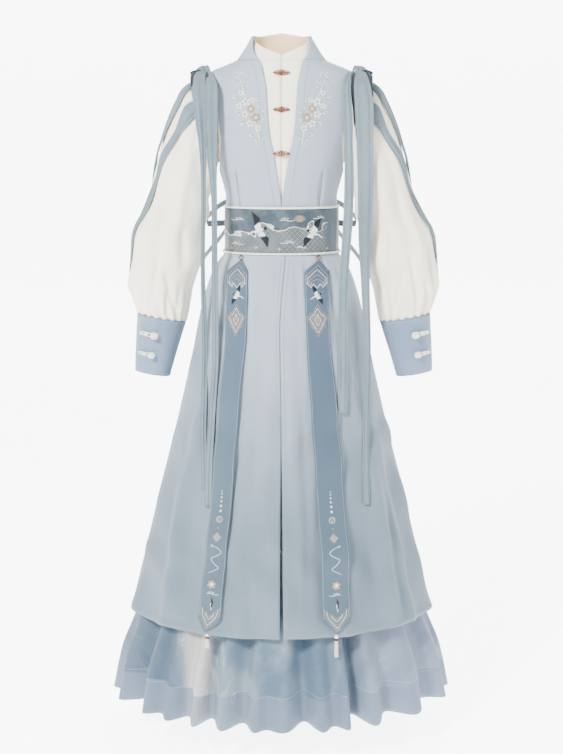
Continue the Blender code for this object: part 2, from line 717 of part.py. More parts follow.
def belt_pieces():
    turn = ring_turns()
    z, angle = np.meshgrid(np.array([BELT_BOTTOM, -0.340, BELT_TOP]), turn, indexing="ij")
    paint(wall("belt", layer(angle, z, BELT_OUT), layer(angle, z, BELT_IN), closed=True),
          (0.20, 0.28, 0.38))
    for name, height in (("belt_piping_top", BELT_TOP + PIPING_RADIUS + 0.5 * MM),
                         ("belt_piping_bottom", BELT_BOTTOM - PIPING_RADIUS - 0.5 * MM)):
        level = 0 * turn + height
        centres = layer(turn, level, PIPING_RADIUS + 0.9 * MM)
        n = normals(form, turn, level)
        ups = np.repeat([[0.0, 0.0, 1.0]], len(turn), axis=0)
        n[:, 2] = 0
        n = n / np.linalg.norm(n, axis=1, keepdims=True)
        paint(tube(name, centres, n, ups, PIPING_RADIUS, 4, True), (0.83, 0.82, 0.78))


BOW_KNOT_Y = 0.1010


def bow_pieces():
    """The belt's ties, knotted in a bow at the back."""
    colour = (0.22, 0.30, 0.40)
    knot_z = -0.330
    rows = [(-0.020, 0.0)] + [(-0.018 + 0.009 * i, r) for i, r in
                              enumerate((0.009, 0.012, 0.012, 0.012, 0.009))] + [(0.020, 0.0)]
    paint(turned("bow_knot", (0, BOW_KNOT_Y + 0.010, knot_z), (1, 0, 0), (0, 0, 1), rows, 8),
          colour)
    # a loop arches out from the knot, turns at its tip and comes back under itself
    loop = (
        # x, out from the body, z, width
        (0.024, 0.005, -0.325, 0.012),
        (0.055, 0.004, -0.300, 0.018),
        (0.090, -0.004, -0.278, 0.020),
        (0.120, -0.014, -0.284, 0.020),
        (0.145, -0.020, -0.302, 0.020),
        (0.157, -0.022, -0.318, 0.020),
        (0.154, -0.015, -0.327, 0.020),
        (0.130, -0.002, -0.327, 0.020),
        (0.095, 0.010, -0.324, 0.019),
        (0.060, 0.015, -0.328, 0.017),
        (0.024, 0.013, -0.335, 0.012),
    )
    tail = (
        (0.019, 0.004, -0.3455, 0.012),
        (0.050, -0.002, -0.339, 0.018),
        (0.085, -0.012, -0.328, 0.020),
        (0.110, -0.020, -0.332, 0.020),
        (0.135, -0.024, -0.360, 0.021),
        (0.166, -0.022, -0.398, 0.021),
        (0.178, -0.020, -0.418, 0.014),
    )
    for side, sign in (("l", 1), ("r", -1)):
        for name, rows in (("bow_loop_", loop), ("bow_tail_", tail)):
            centres = [(sign * x, BOW_KNOT_Y + y, z) for x, y, z, _ in rows]
            across = [(0.0, 0.85, 0.53) for _ in rows]
            widths = [row[3] for row in rows]
            paint(band(name + side, centres, across, widths, THIN_CLOTH), colour)


def on_vest(x, z, out):
    """A point over the vest's front at a given x and height."""
    return vest(angle_at(x, z), z, out)


def streamers():
    for side, table in (("l", STREAMER_L), ("r", STREAMER_R)):
        heights = np.array([table[0][0], -0.415, -0.460, -0.540, -0.640, -0.750, -0.860,
                            -0.960, -1.050, -1.070, table[-1][0]])
        share = np.linspace(-0.5, 0.5, 4)[None, :]
        middle = smooth(heights, table, 1)[:, None]
        x = middle + smooth(heights, table, 2)[:, None] * share
        z = np.repeat(heights[:, None], 4, axis=1)
        grid_in, grid_out = on_vest(x, z, 1.5 * MM), on_vest(x, z, 1.5 * MM + 1.2 * MM)
        paint(wall("streamer_" + side, grid_out, grid_in), (0.16, 0.24, 0.34))
        hook_x = float(middle[0, 0])
        turn = np.arange(10) * math.pi / 5
        angle, level = angle_at(np.array(hook_x), np.array(-0.3865)), np.array(-0.3865)
        away = normals(form, angle, level)
        across = np.cross(away, (0.0, 0.0, 1.0))
        across = across / np.linalg.norm(across)
        upward = np.cross(across, away)
        centre = vest(angle, level, 3.6 * MM)
        spokes = np.cos(turn)[:, None] * across + np.sin(turn)[:, None] * upward
        centres = centre + spokes * 4.3 * MM
        forward = np.repeat(away[None, :], len(turn), axis=0)
        paint(tube("streamer_hook_" + side, centres, spokes, forward, 0.9 * MM, 5, True),
              (0.55, 0.42, 0.33), 1.0, 0.35)
        pendant(side, float(middle[-1, 0]) + (0.0015 if side == "l" else -0.001),
                0.044 if side == "l" else 0.030)


def pendant(side, x, length):
    """A bead with a small tassel under it: strands of four sides fused to the bead's foot."""
    top = -1.0990
    y = float(on_vest(np.array(x), np.array(-1.10), 0.0)[1]) - 7.0 * MM
    strands, root = 12, 3.6 * MM
    bead = ((0.0, 0.0), (1.0, 1.6), (3.5, 4.2), (6.5, 4.4), (9.0, 2.2), (10.5, 3.4),
            (12.0, 3.6))
    points = [np.array([x, y, top])]
    sides = strands
    for drop, radius in bead[1:]:
        for j in range(sides):
            turn = 2 * math.pi * j / sides
            points.append(np.array([x + radius * MM * math.cos(turn),
                                    y + radius * MM * math.sin(turn), top - drop * MM]))
    faces = []
    rings = len(bead) - 1
    for j in range(sides):
        k = (j + 1) % sides
        faces.append((0, 1 + j, 1 + k))
        for i in range(rings - 1):
            a, b = 1 + i * sides + j, 1 + i * sides + k
            faces.append((a, a + sides, b))
            faces.append((b, a + sides, b + sides))
    base = 1 + (rings - 1) * sides
    hub = len(points)
    points.append(np.array([x, y, top - 12.0 * MM]))
    # every other gap of the foot ring carries a strand of three sides that hangs from it
    for j in range(sides):
        k = (j + 1) % sides
        a, b = base + j, base + k
        if j % 2:
            faces.append((a, hub, b))
            continue
        turn = 2 * math.pi * (j + 0.5) / sides
        spread = 1.15 + 0.25 * math.sin(3.0 * j)
        tip = np.array([x + root * spread * math.cos(turn), y + root * spread * math.sin(turn),
                        top - length + 0.002 * math.sin(5.0 * j)])
        neck = []
        for corner in (points[a], points[b], points[hub]):
            neck.append(corner * 0.55 + tip * 0.45 * np.array([1, 1, 0])
                        + np.array([0, 0, 0.45 * tip[2]]))
        first = len(points)
        # the strand keeps clear of its neighbours by drawing in toward its own middle
        middle = sum(neck) / 3
        points.extend([middle + (p - middle) * 0.62 for p in neck])
        points.append(tip)
        ring = (a, hub, b)
        low = (first, first + 2, first + 1)
        for m in range(3):
            n = (m + 1) % 3
            faces.append((ring[m], ring[n], low[m]))
            faces.append((ring[n], low[n], low[m]))
            faces.append((low[m], low[n], first + 3))
    faces = [face[::-1] for face in faces]
    paint(solid("pendant_" + side, points, faces), (0.85, 0.84, 0.80))


# ribbons from each shoulder: two lie round the sleeve, two hang down the front
RIBBON_OUTER = (
    # place along the sleeve, turn in degrees, width, out
    (0.115, 26.0, 0.016, 2.5),
    (0.19, 22.0, 0.026, 3.5),
    (0.28, 12.0, 0.024, 4.0),
    (0.38, -4.0, 0.020, 4.0),
    (0.47, -24.0, 0.018, 3.5),
    (0.56, -48.0, 0.018, 3.0),
    (0.66, -74.0, 0.020, 3.0),
    (0.76, -98.0, 0.022, 3.0),
)
RIBBON_INNER = (
    (0.105, 66.0, 0.018, 4.3),
    (0.17, 60.0, 0.024, 3.8),
    (0.27, 52.0, 0.014, 2.9),
    (0.36, 40.0, 0.018, 2.9),
    (0.45, 26.0, 0.022, 2.9),
    (0.56, 12.0, 0.028, 2.9),
    (0.67, 0.0, 0.034, 2.9),
    (0.78, -16.0, 0.034, 2.9),
    (0.88, -38.0, 0.030, 2.9),
)
# hanging ribbons: height, middle x, y before it meets the vest, width
HANG_OUTER = {
    "l": (
        (-0.0275, 0.1560, -0.0255, 0.024),
        (-0.0360, 0.1560, -0.0470, 0.027),
        (-0.0530, 0.1570, -0.0700, 0.030),
        (-0.090, 0.1610, -0.0830, 0.032),
        (-0.200, 0.1620, -0.0850, 0.031),
        (-0.330, 0.1630, -0.0860, 0.026),
        (-0.440, 0.1660, -0.0880, 0.017),
        (-0.560, 0.1680, -0.0960, 0.014),
        (-0.700, 0.1675, -0.1180, 0.013),
        (-0.860, 0.1660, -0.1500, 0.013),
    ),
    "r": (
        (-0.0275, -0.1580, -0.0255, 0.024),
        (-0.0360, -0.1590, -0.0470, 0.026),
        (-0.0530, -0.1590, -0.0700, 0.026),
        (-0.090, -0.1560, -0.0830, 0.021),
        (-0.170, -0.1530, -0.0850, 0.014),
        (-0.240, -0.1530, -0.0850, 0.009),
        (-0.330, -0.1530, -0.0860, 0.008),
        (-0.440, -0.1530, -0.0880, 0.009),
        (-0.560, -0.1520, -0.1000, 0.011),
        (-0.700, -0.1520, -0.1220, 0.012),
        (-0.830, -0.1490, -0.1500, 0.014),
    ),
}
HANG_INNER = {
    "l": (
        (-0.0290, 0.1330, -0.0330, 0.011),
        (-0.0380, 0.1300, -0.0580, 0.011),
        (-0.0560, 0.1270, -0.0790, 0.012),
        (-0.110, 0.1290, -0.0950, 0.014),
        (-0.200, 0.1300, -0.0980, 0.018),
        (-0.300, 0.1290, -0.1020, 0.019),
        (-0.400, 0.1240, -0.1100, 0.018),
        (-0.500, 0.1200, -0.1200, 0.018),
        (-0.600, 0.1190, -0.1300, 0.018),
        (-0.680, 0.1180, -0.1400, 0.018),
    ),
    "r": (
        (-0.0290, -0.1380, -0.0330, 0.014),
        (-0.0380, -0.1365, -0.0580, 0.016),
        (-0.0560, -0.1340, -0.0790, 0.020),
        (-0.120, -0.1345, -0.0950, 0.022),
        (-0.190, -0.1345, -0.0980, 0.020),
        (-0.235, -0.1330, -0.1000, 0.013),
        (-0.300, -0.1310, -0.1020, 0.011),
        (-0.420, -0.1290, -0.1120, 0.012),
        (-0.560, -0.1300, -0.1250, 0.013),
        (-0.700, -0.1360, -0.1400, 0.014),
        (-0.860, -0.1440, -0.1500, 0.015),
    ),
}


def front_line(x, z, out):
    """The y of the vest's front at x, moved out; far back where x is beyond its side."""
    width = smooth(z, FORM, 1)
    inside = np.clip(np.abs(x) / width, 0, 0.985)
    y = on_vest(np.sign(x) * inside * width, z, out)[..., 1]
    return np.where(np.abs(x) < width * 0.985, y, 1.0)


def hanging_ribbon(name, table, out, colour):
    share = np.linspace(0.0, 1.0, 14) ** 1.9
    heights = table[0][0] * (1 - share) + table[-1][0] * share
    x = smooth(heights, table, 1)
    y = smooth(heights, table, 2)
    width = smooth(heights, table, 3)
    share = np.linspace(-0.5, 0.5, 3)
    grid_x = x[:, None] + width[:, None] * share[None, :]
    z = np.repeat(heights[:, None], 3, axis=1)
    # the ribbon rests on whichever is further forward, its own line or the vest
    clear = np.minimum(y[:, None] + 0 * grid_x, front_line(grid_x, z, out))
    clear = np.minimum(clear, clear.min(axis=1, keepdims=True) * 0.5 + clear * 0.5)
    grid = np.stack([grid_x, clear, z], axis=-1)
    paint(sheet_wall(name, grid, THIN_CLOTH), colour)


def ribbons():
    colour = (0.36, 0.44, 0.54)
    for side in ("l", "r"):
        for name, table in (("ribbon_outer_", RIBBON_OUTER), ("ribbon_inner_", RIBBON_INNER)):
            places = np.linspace(table[0][0], table[-1][0], 12)
            turn = np.radians(smooth(places, table, 1))
            width = smooth(places, table, 2)
            out = smooth(places, table, 3) * MM
            share = np.linspace(-0.5, 0.5, 3)[None, :]
            spread = turn[:, None] + width[:, None] / 0.062 * share
            place = np.repeat(places[:, None], 3, axis=1)
            grid = sleeve(place, spread, out[:, None] + 0 * spread)
            paint(sheet_wall(name + side, to_side(grid, side), THIN_CLOTH), colour)
        hanging_ribbon("ribbon_hang_outer_" + side, HANG_OUTER[side], 4.6 * MM, colour)
        hanging_ribbon("ribbon_hang_inner_" + side, HANG_INNER[side], 4.4 * MM, colour)
        shoulder_gather(side, colour)


def shoulder_gather(side, colour):
    """The small pleated knot that holds a shoulder's ribbons, over the sleeve's head."""
    sign = 1 if side == "l" else -1
    pleats = 8
    turn = np.arange(2 * pleats) * math.pi / pleats
    centre = np.array([0.1580, -0.0030, -0.0235])
    rows = [(0.30, 0.007), (0.72, 0.0055), (1.0, 0.0005), (0.80, -0.0045), (0.35, -0.0062)]
    points, faces = [], []
    for size, height in rows:
        ripple = 1 + 0.13 * np.cos(turn * pleats) * (size > 0.4)
        x = centre[0] + 0.0210 * size * ripple * np.cos(turn)
        y = centre[1] - 0.0170 * size * ripple * np.sin(turn)
        z = centre[2] + height - 0.30 * (x - centre[0])
        points.extend(np.stack([sign * x, y, z], axis=1))
    count = len(turn)
    for i in range(len(rows) - 1):
        for j in range(count):
            a, b = i * count + j, i * count + (j + 1) % count
            faces.append((a, b, b + count))
            faces.append((a, b + count, a + count))
    for i, turned_round in ((0, -1), (len(rows) - 1, 1)):
        hub = len(points)
        points.append(np.mean(points[i * count:(i + 1) * count], axis=0))
        for j in range(count):
            a, b = i * count + j, i * count + (j + 1) % count
            faces.append((a, b, hub)[::turned_round])
    paint(solid("shoulder_gather_" + side, points, faces), colour)


def clasps():
    """Three metal clasps over the closed front: a scalloped plate with a raised middle."""
    lobes = 20
    turn = np.arange(lobes) * 2 * math.pi / lobes
    for number, (z, width) in enumerate(CLASP_HEIGHTS, start=1):
        half_width, half_height = width / 2, 0.0064
        bulge = 0.72 + 0.28 * np.abs(np.cos(turn * 2.0)) ** 0.7
        rim_x = half_width * np.cos(turn) * bulge ** 0.4
        rim_z = half_height * np.sin(turn) * (0.62 + 0.38 * np.abs(np.cos(turn * 3)))
        back = float(on_vest(np.array(half_width * 0.9), np.array(z), 0.0)[1])
        back = min(back, float(form(np.array(0.0), np.array(z))[1]) + 3.2 * MM) - 0.7 * MM
        points, faces = [], []
        rows = ((1.0, 0.0), (1.0, 0.6), (0.42, 1.0), (0.28, 1.8))
        for size, height in rows:
            x, y = rim_x * size, back - CLASP_THICKNESS * height + 0 * rim_x
            points.extend(np.stack([x, y, z + rim_z * size], axis=1))
        for i in range(len(rows) - 1):
            for j in range(lobes):
                a, b = i * lobes + j, i * lobes + (j + 1) % lobes
                faces.append((a, b, b + lobes))
                faces.append((a, b + lobes, a + lobes))
        for i, turned_round in ((0, -1), (len(rows) - 1, 1)):
            hub = len(points)
            points.append(np.mean(points[i * lobes:(i + 1) * lobes], axis=0))
            for j in range(lobes):
                a, b = i * lobes + j, i * lobes + (j + 1) % lobes
                faces.append((a, b, hub)[::turned_round])
        paint(solid("clasp_%d" % number, points, faces), (0.50, 0.30, 0.22), 1.0, 0.35)


CUFF_KNOTS = (
    # height, size of the ball
    (-0.5415, 0.0080),
    (-0.5825, 0.0073),
)
CUFF_KNOT_TURNS = {"l": (78.0, 38.0), "r": (85.0, 43.0)}


def cuff_knots():
    """Knotted ball closures on the front of each cuff, each with its loop lying flat."""
    for side in ("l", "r"):
        sign = 1 if side == "l" else -1
        for number, (z, ball) in enumerate(CUFF_KNOTS, start=1):
            rise = (z - CUFF_BOTTOM_Z) / (CUFF_TOP_Z - CUFF_BOTTOM_Z)
            first, last = (math.radians(turn) for turn in CUFF_KNOT_TURNS[side])
            start = to_side(cuff(rise, first, ball + 0.8 * MM), side)
            end = to_side(cuff(rise, last, 5.4 * MM), side)
            length = float(np.linalg.norm(end - start))
            profile = ((-ball, 0.0), (-ball * 0.72, ball * 0.69), (0.0, ball),
                       (ball * 0.72, ball * 0.69), (ball * 1.0, 0.0020),
                       (length * 0.52, 0.0030), (length * 0.66, 0.0020),
                       (length * 0.90, 0.0026), (length, 0.0))
            paint(turned("cuff_knot_%s_%d" % (side, number), start, end - start,
                         (0, 0, 1), profile, 7), (0.85, 0.84, 0.80))


for old in list(bpy.data.objects):
    bpy.data.objects.remove(old, do_unlink=True)
garment = bpy.data.collections.new("skirt_vest_and_blouse_set")
bpy.context.scene.collection.children.link(garment)

vest_panels()
blouse_panels()
collar("vest_collar", VEST_OUT, math.radians(29.0), math.radians(66.0), CLOTH,
       VEST_COLUMNS[0], VEST_COLUMNS[1], (0.50, 0.57, 0.67))
collar("blouse_collar", BLOUSE_OUT, math.radians(0.35), math.radians(0.5), THIN_CLOTH,
       BLOUSE_COLUMNS[0], BLOUSE_COLUMNS[1], (0.86, 0.84, 0.79))
sleeves()
cuffs()
skirt_pieces()
belt_pieces()
bow_pieces()
streamers()
ribbons()
clasps()
cuff_knots()

FRONTS = ("vest_front_l", "vest_front_r", "blouse_front_l", "blouse_front_r")
settle("bow_knot", ("belt",), (0, -1, 0))
for side, sign in (("l", 1), ("r", -1)):
    settle("bow_loop_" + side, ("bow_knot",), (-sign, 0, 0))
    settle("bow_tail_" + side, ("bow_knot",), (-sign, 0, 0.5))
    settle("streamer_hook_" + side, ("vest_front_" + side,), (0, 1, 0.3))
    settle("pendant_" + side, ("vest_front_" + side, "streamer_" + side), (0, 1, 0))
    settle("shoulder_gather_" + side, ("blouse_sleeve_" + side, "vest_front_" + side,
                                       "vest_back"), (0, 0, -1))
    for place in ("outer_", "inner_"):
        settle("ribbon_hang_" + place + side,
               ("vest_front_" + side, "streamer_" + side, "blouse_sleeve_" + side,
                "shoulder_gather_" + side), (0, 1, 0))
    for number in (1, 2):
        settle("cuff_knot_%s_%d" % (side, number), ("blouse_cuff_" + side,),
               (-0.55 * sign, 0.8, 0))
for number in (1, 2, 3):
    settle("clasp_%d" % number, FRONTS, (0, 1, 0))

total = sum(len(obj.data.polygons) for obj in garment.objects)
print("nodes", len(garment.objects), "triangles", total)
for obj in garment.objects:
    print(obj.name, len(obj.data.polygons))
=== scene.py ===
# %% [markdown]
# # A blouse, a skirt and a long open vest, dressed on a frame
# The frame holds the set as plain closed solids at their real size. These cells give it its
# looks. Each cloth solid is replaced by a fine thin shell of the same form, with creases placed
# one by one, and then come hems, piping, embroidery, ribbons, clasps, knots and tassels.
# Everything is in metres. Up is +Z, the front faces -Y, and +X is the wearer's left.

# %% Load the frame and keep its box
import math

import bpy
import numpy as np
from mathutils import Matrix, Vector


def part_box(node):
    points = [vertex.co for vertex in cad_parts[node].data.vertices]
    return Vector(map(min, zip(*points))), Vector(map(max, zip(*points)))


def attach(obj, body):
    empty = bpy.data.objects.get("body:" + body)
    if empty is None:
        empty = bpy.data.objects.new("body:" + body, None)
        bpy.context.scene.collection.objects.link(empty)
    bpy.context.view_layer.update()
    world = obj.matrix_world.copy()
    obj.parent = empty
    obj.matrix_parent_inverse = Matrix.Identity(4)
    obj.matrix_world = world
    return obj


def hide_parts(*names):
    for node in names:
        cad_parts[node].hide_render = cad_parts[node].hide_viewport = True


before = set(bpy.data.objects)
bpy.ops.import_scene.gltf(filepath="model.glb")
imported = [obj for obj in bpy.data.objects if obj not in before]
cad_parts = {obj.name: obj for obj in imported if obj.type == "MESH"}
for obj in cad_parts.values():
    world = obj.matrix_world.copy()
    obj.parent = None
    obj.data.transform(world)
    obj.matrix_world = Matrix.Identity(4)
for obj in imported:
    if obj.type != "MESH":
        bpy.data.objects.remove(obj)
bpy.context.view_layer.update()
MM = 0.001
SIDES = {"l": 1, "r": -1}

# %% [markdown]
# ## The camera
# The set is seen from the front, from a little above the belt, with the lens tipped down. A
# long lens keeps the hem from swelling toward the viewer. The lens length follows from how
# many pixels one metre takes at one metre from the lens.

# %% Camera
VIEW_HEIGHT = -0.138
VIEW_DISTANCE = 3.2
VIEW_PITCH = math.radians(8.8)
PIXELS_PER_SLOPE = 1590.0
FRAME_PIXELS_HIGH = 754
SENSOR = 36.0
lens = bpy.data.cameras.new("view")
lens.sensor_fit = "VERTICAL"
lens.sensor_height = SENSOR
lens.lens = PIXELS_PER_SLOPE / FRAME_PIXELS_HIGH * SENSOR
camera = bpy.data.objects.new("view", lens)
camera.location = (0.0, -VIEW_DISTANCE, VIEW_HEIGHT)
camera.rotation_euler = (math.radians(90.0) - VIEW_PITCH, 0.0, 0.0)
bpy.context.scene.collection.objects.link(camera)
bpy.context.scene.camera = camera
print("lens, mm:", round(lens.lens, 1))

# %% [markdown]
# ## Smooth curves through short tables
# A garment's form is told by a few measured rows. A curve that passes through the rows
# without overshooting turns them into a surface, so a table of widths never makes a bulge
# that nobody measured. The tables are written in millimetres and turned to metres at once.

# %% Curve and blend helpers
def in_metres(rows, keep=()):
    """Rows written in millimetres, as metres; the columns named in keep are other measures."""
    return [tuple(value if k in keep else value / 1000 for k, value in enumerate(row))
            for row in rows]


def xyz(*parts):
    """Points from their parts: across, in depth and up, or across and up."""
    return np.stack(np.broadcast_arrays(*parts), axis=-1)


def unit(vectors):
    """The same directions, each one metre long."""
    return vectors / np.maximum(np.linalg.norm(vectors, axis=-1, keepdims=True), 1e-12)


def smooth(value, table, column):
    """Smooth curve through one column of a table whose first column rises or falls."""
    rows = sorted(table)
    xs = np.array([row[0] for row in rows])
    ys = np.array([row[column] for row in rows])
    steps = np.diff(xs)
    rates = np.diff(ys) / steps
    slopes = np.zeros(len(xs))
    slopes[0], slopes[-1] = rates[0], rates[-1]
    for i in range(1, len(xs) - 1):
        if rates[i - 1] * rates[i] > 0:
            ahead = 2 * steps[i] + steps[i - 1]
            behind = steps[i] + 2 * steps[i - 1]
            slopes[i] = (ahead + behind) / (ahead / rates[i - 1] + behind / rates[i])
    value = np.clip(np.asarray(value, dtype=float), xs[0], xs[-1])
    k = np.clip(np.searchsorted(xs, value, side="right") - 1, 0, len(xs) - 2)
    t = (value - xs[k]) / steps[k]
    return (ys[k] * (1 + 2 * t) * (1 - t) ** 2 + slopes[k] * steps[k] * t * (1 - t) ** 2
            + ys[k + 1] * t * t * (3 - 2 * t) + slopes[k + 1] * steps[k] * t * t * (t - 1))


def ease(value, start, end):
    """0 before start, 1 after end, smooth between."""
    t = np.clip((np.asarray(value, dtype=float) - start) / (end - start), 0.0, 1.0)
    return t * t * (3 - 2 * t)


def normals(surface, a, b, step_a=0.004, step_b=0.0006):
    """Outward normals of a surface given as a function of two values."""
    along_a = surface(a + step_a, b) - surface(a - step_a, b)
    along_b = surface(a, b + step_b) - surface(a, b - step_b)
    return unit(np.cross(along_a, along_b))


def grid_normals(grid):
    """Normals of a grid of points; either side may be the outer one."""
    return unit(np.cross(np.gradient(grid, axis=1), np.gradient(grid, axis=0)))


def creases(table, across, up):
    """Height of listed creases: each row is a soft ridge, or a trough where negative."""
    total = 0.0 * (across + up)
    for start_across, start_up, end_across, end_up, width, height in table:
        run_across, run_up = end_across - start_across, end_up - start_up
        squared = run_across ** 2 + run_up ** 2
        t = ((across - start_across) * run_across + (up - start_up) * run_up) / squared
        near = np.clip(t, 0.0, 1.0)
        away = np.hypot(across - start_across - near * run_across,
                        up - start_up - near * run_up)
        fade = np.clip(4.0 * near * (1.0 - near), 0.0, 1.0) ** 0.7
        total = total + height * fade * np.exp(-(away / width) ** 2)
    return total


# %% [markdown]
# ## The worn form
# All three layers stand on one body form: an oval at each height, with its own half width and
# its own depth at the front and at the back. A layer of cloth is this form moved out or in by
# a few millimetres, so that the layers follow one another and never cross.

# %% Body form and layers
CLOTH = 1.5 * MM
THIN_CLOTH = 1.1 * MM
SEAM = 0.36 * MM
NECK_Z = 0.0
BELT_TOP, BELT_BOTTOM = -0.289, -0.3745
VEST_HEM = -1.106
SKIRT_HEM, SKIRT_TOP, WAISTBAND_HEIGHT = -1.286, -0.289, 0.025
BLOUSE_HEM = -0.346
VEST_OUT, SKIRT_OUT, BLOUSE_OUT = 0.0, -2.3 * MM, -4.8 * MM
BELT_IN, BELT_OUT = 0.7 * MM, 2.6 * MM
PIPING_RADIUS = 2.1 * MM
FORM = in_metres((
    # z, half width, front depth, back depth, and the roundness, which is a bare number
    (-1300, 359, 290, 295, 2), (-1200, 338.5, 270, 278, 2), (-1106, 306.5, 250, 257, 2),
    (-1030, 287.5, 243, 248, 2), (-932, 264, 228, 235, 2), (-831, 240, 210, 218, 2),
    (-731, 215, 192, 200, 2.02), (-640, 194, 174, 180, 2.04), (-578, 180, 160, 165, 2.06),
    (-516, 168, 144, 150, 2.08), (-456, 153, 129, 134, 2.1), (-415, 138.5, 114, 117, 2.15),
    (-395, 126.5, 103, 106, 2.15), (-380, 115, 92.5, 94, 2.2), (-365, 111.4, 89.3, 89, 2.2),
    (-330, 111.2, 88, 86, 2.2), (-290, 111.2, 89, 86, 2.2), (-270, 111.2, 93, 88, 2.2),
    (-237, 118, 101, 93, 2.2), (-200, 129, 106.5, 99, 2.2), (-160, 138, 106.5, 102, 2.2),
    (-117, 147.5, 99, 101, 2.2), (-80, 154, 88, 96, 2.2), (-50, 159, 77, 88, 2.2),
    (-34, 156, 70, 82, 2.2), (-26, 146, 66.5, 79, 2.2), (-16, 126, 63, 75, 2.2),
    (-8, 106, 60, 71, 2.2), (0, 88, 58, 68, 2.2), (12, 76, 54, 65, 2.2),
), keep=(4,))


def oval(angle, half_width, front, back, roundness):
    """Plan of a ring: angle 0 is the front middle, a quarter turn is the wearer's left."""
    s, c = np.sin(angle), np.cos(angle)
    r = (np.abs(s) ** roundness + np.abs(c) ** roundness) ** (-1.0 / roundness)
    return half_width * r * s, -np.where(c > 0, front, back) * r * c


def form(angle, z):
    """A point of the plain worn form, without folds."""
    x, y = oval(angle, *(smooth(z, FORM, column) for column in (1, 2, 3, 4)))
    return xyz(x, y, np.asarray(z, dtype=float))


def layer(angle, z, out):
    """A point of the form moved out by a distance."""
    angle = np.asarray(angle, dtype=float)
    z = np.asarray(z, dtype=float) + 0 * angle
    return form(angle, z) + normals(form, angle, z) * np.asarray(out)[..., None]


def angle_at(x, z):
    """The angle of the form's front where it stands at x."""
    q = np.clip(np.asarray(x) / smooth(z, FORM, 1), -0.9999, 0.9999)
    roundness = smooth(z, FORM, 4)
    p = (1 - np.abs(q) ** roundness) ** (1 / roundness)
    return np.arctan2(q, p)


print("half width at the hem, mm:", round(float(smooth(SKIRT_HEM, FORM, 1)) * 1000))

# %% [markdown]
# ## Closed sheets
# Cloth is never a single face here. Each sheet is two grids of points, an outer and an inner
# one, joined all round by a narrow edge, so it prints, casts shadows and shows its thickness
# at a hem. Each point also keeps its place on the flat cloth in metres, as a UV map, and the
# weave follows that.

# %% Sheet builder
def flat_map(grid, closed):
    """Place of each point on the flat cloth, in metres, measured along rows and columns."""
    across = np.linalg.norm(np.diff(grid, axis=1), axis=-1)
    across = np.concatenate([0 * across[:, :1], across], axis=1).cumsum(axis=1)
    across = across - across[:, across.shape[1] // 2][:, None]
    along = np.linalg.norm(np.diff(grid, axis=0), axis=-1)
    along = np.concatenate([0 * along[:1], along], axis=0).cumsum(axis=0)
    if closed:
        step = np.linalg.norm(grid[:, 0] - grid[:, -1], axis=-1)
        across = np.concatenate([across, across[:, -1:] + step[:, None]], axis=1)
        along = np.concatenate([along, along[:, :1]], axis=1)
    return across, along


def build(name, points, faces, uvs, material):
    """A plain mesh object at the origin, with its UV map and one material."""
    mesh = bpy.data.meshes.new(name)
    mesh.from_pydata([tuple(p) for p in np.asarray(points)], [], faces)
    layer_uv = mesh.uv_layers.new(name="cloth")
    layer_uv.data.foreach_set("uv", np.asarray(uvs, dtype=np.float32).ravel())
    mesh.polygons.foreach_set("use_smooth", [True] * len(mesh.polygons))
    mesh.materials.append(material)
    mesh.update()
    piece = bpy.data.objects.new(name, mesh)
    bpy.context.scene.collection.objects.link(piece)
    return piece


def wall(name, outer, inner, material, closed=False):
    """A closed sheet between two grids; closed joins the last column to the first."""
    rows, cols = outer.shape[:2]
    points = np.concatenate([outer.reshape(-1, 3), inner.reshape(-1, 3)])
    across, along = flat_map(outer, closed)
    spans = cols if closed else cols - 1
    i, j = np.meshgrid(np.arange(rows - 1), np.arange(spans), indexing="ij")
    i, j = i.ravel(), j.ravel()
    a, b = i * cols + j, i * cols + (j + 1) % cols
    c, d = b + cols, a + cols
    shift = rows * cols
    corner = [(across[i, j], along[i, j]), (across[i, j + 1], along[i, j + 1]),
              (across[i + 1, j + 1], along[i + 1, j + 1]), (across[i + 1, j], along[i + 1, j])]
    places = np.stack([np.stack(pair, axis=-1) for pair in corner], axis=1)
    faces = list(zip(a, b, c, d)) + list(zip(b + shift, a + shift, d + shift, c + shift))
    uvs = [places.reshape(-1, 2), places[:, [1, 0, 3, 2]].reshape(-1, 2)]
    rims = [(row, k, row, k + 1, turn) for row, turn in ((0, 1), (rows - 1, -1))
            for k in range(spans)]
    if not closed:
        rims += [(k, column, k + 1, column, turn) for column, turn in ((0, -1), (cols - 1, 1))
                 for k in range(rows - 1)]
    for row, column, next_row, next_column, turn in rims:
        p, q = row * cols + column, next_row * cols + next_column % cols
        faces.append((q, p, p + shift, q + shift)[::turn])
        here = (across[row, column], along[row, column])
        there = (across[next_row, next_column], along[next_row, next_column])
        uvs.append(np.array([there, here, here, there][::turn]))
    faces = [tuple(int(v) for v in face) for face in faces]
    uvs = np.concatenate(uvs)
    if signed_volume(points, faces) < 0:
        faces = [face[::-1] for face in faces]
        uvs = uvs.reshape(-1, 4, 2)[:, ::-1].reshape(-1, 2)
    piece = build(name, points, faces, uvs, material)
    sheets = 2 * (rows - 1) * spans
    piece.data.polygons.foreach_set("use_smooth", [k < sheets for k in range(len(faces))])
    return piece


def signed_volume(points, faces):
    """Volume of a closed mesh, negative where its faces look inward."""
    total = 0.0
    for size in (3, 4):
        some = np.array([face for face in faces if len(face) == size])
        for third in range(2, size):
            if len(some):
                p, q, r = (points[some[:, k]] for k in (0, third - 1, third))
                total += float(np.einsum("ij,ij->i", p, np.cross(q, r)).sum())
    return total / 6.0


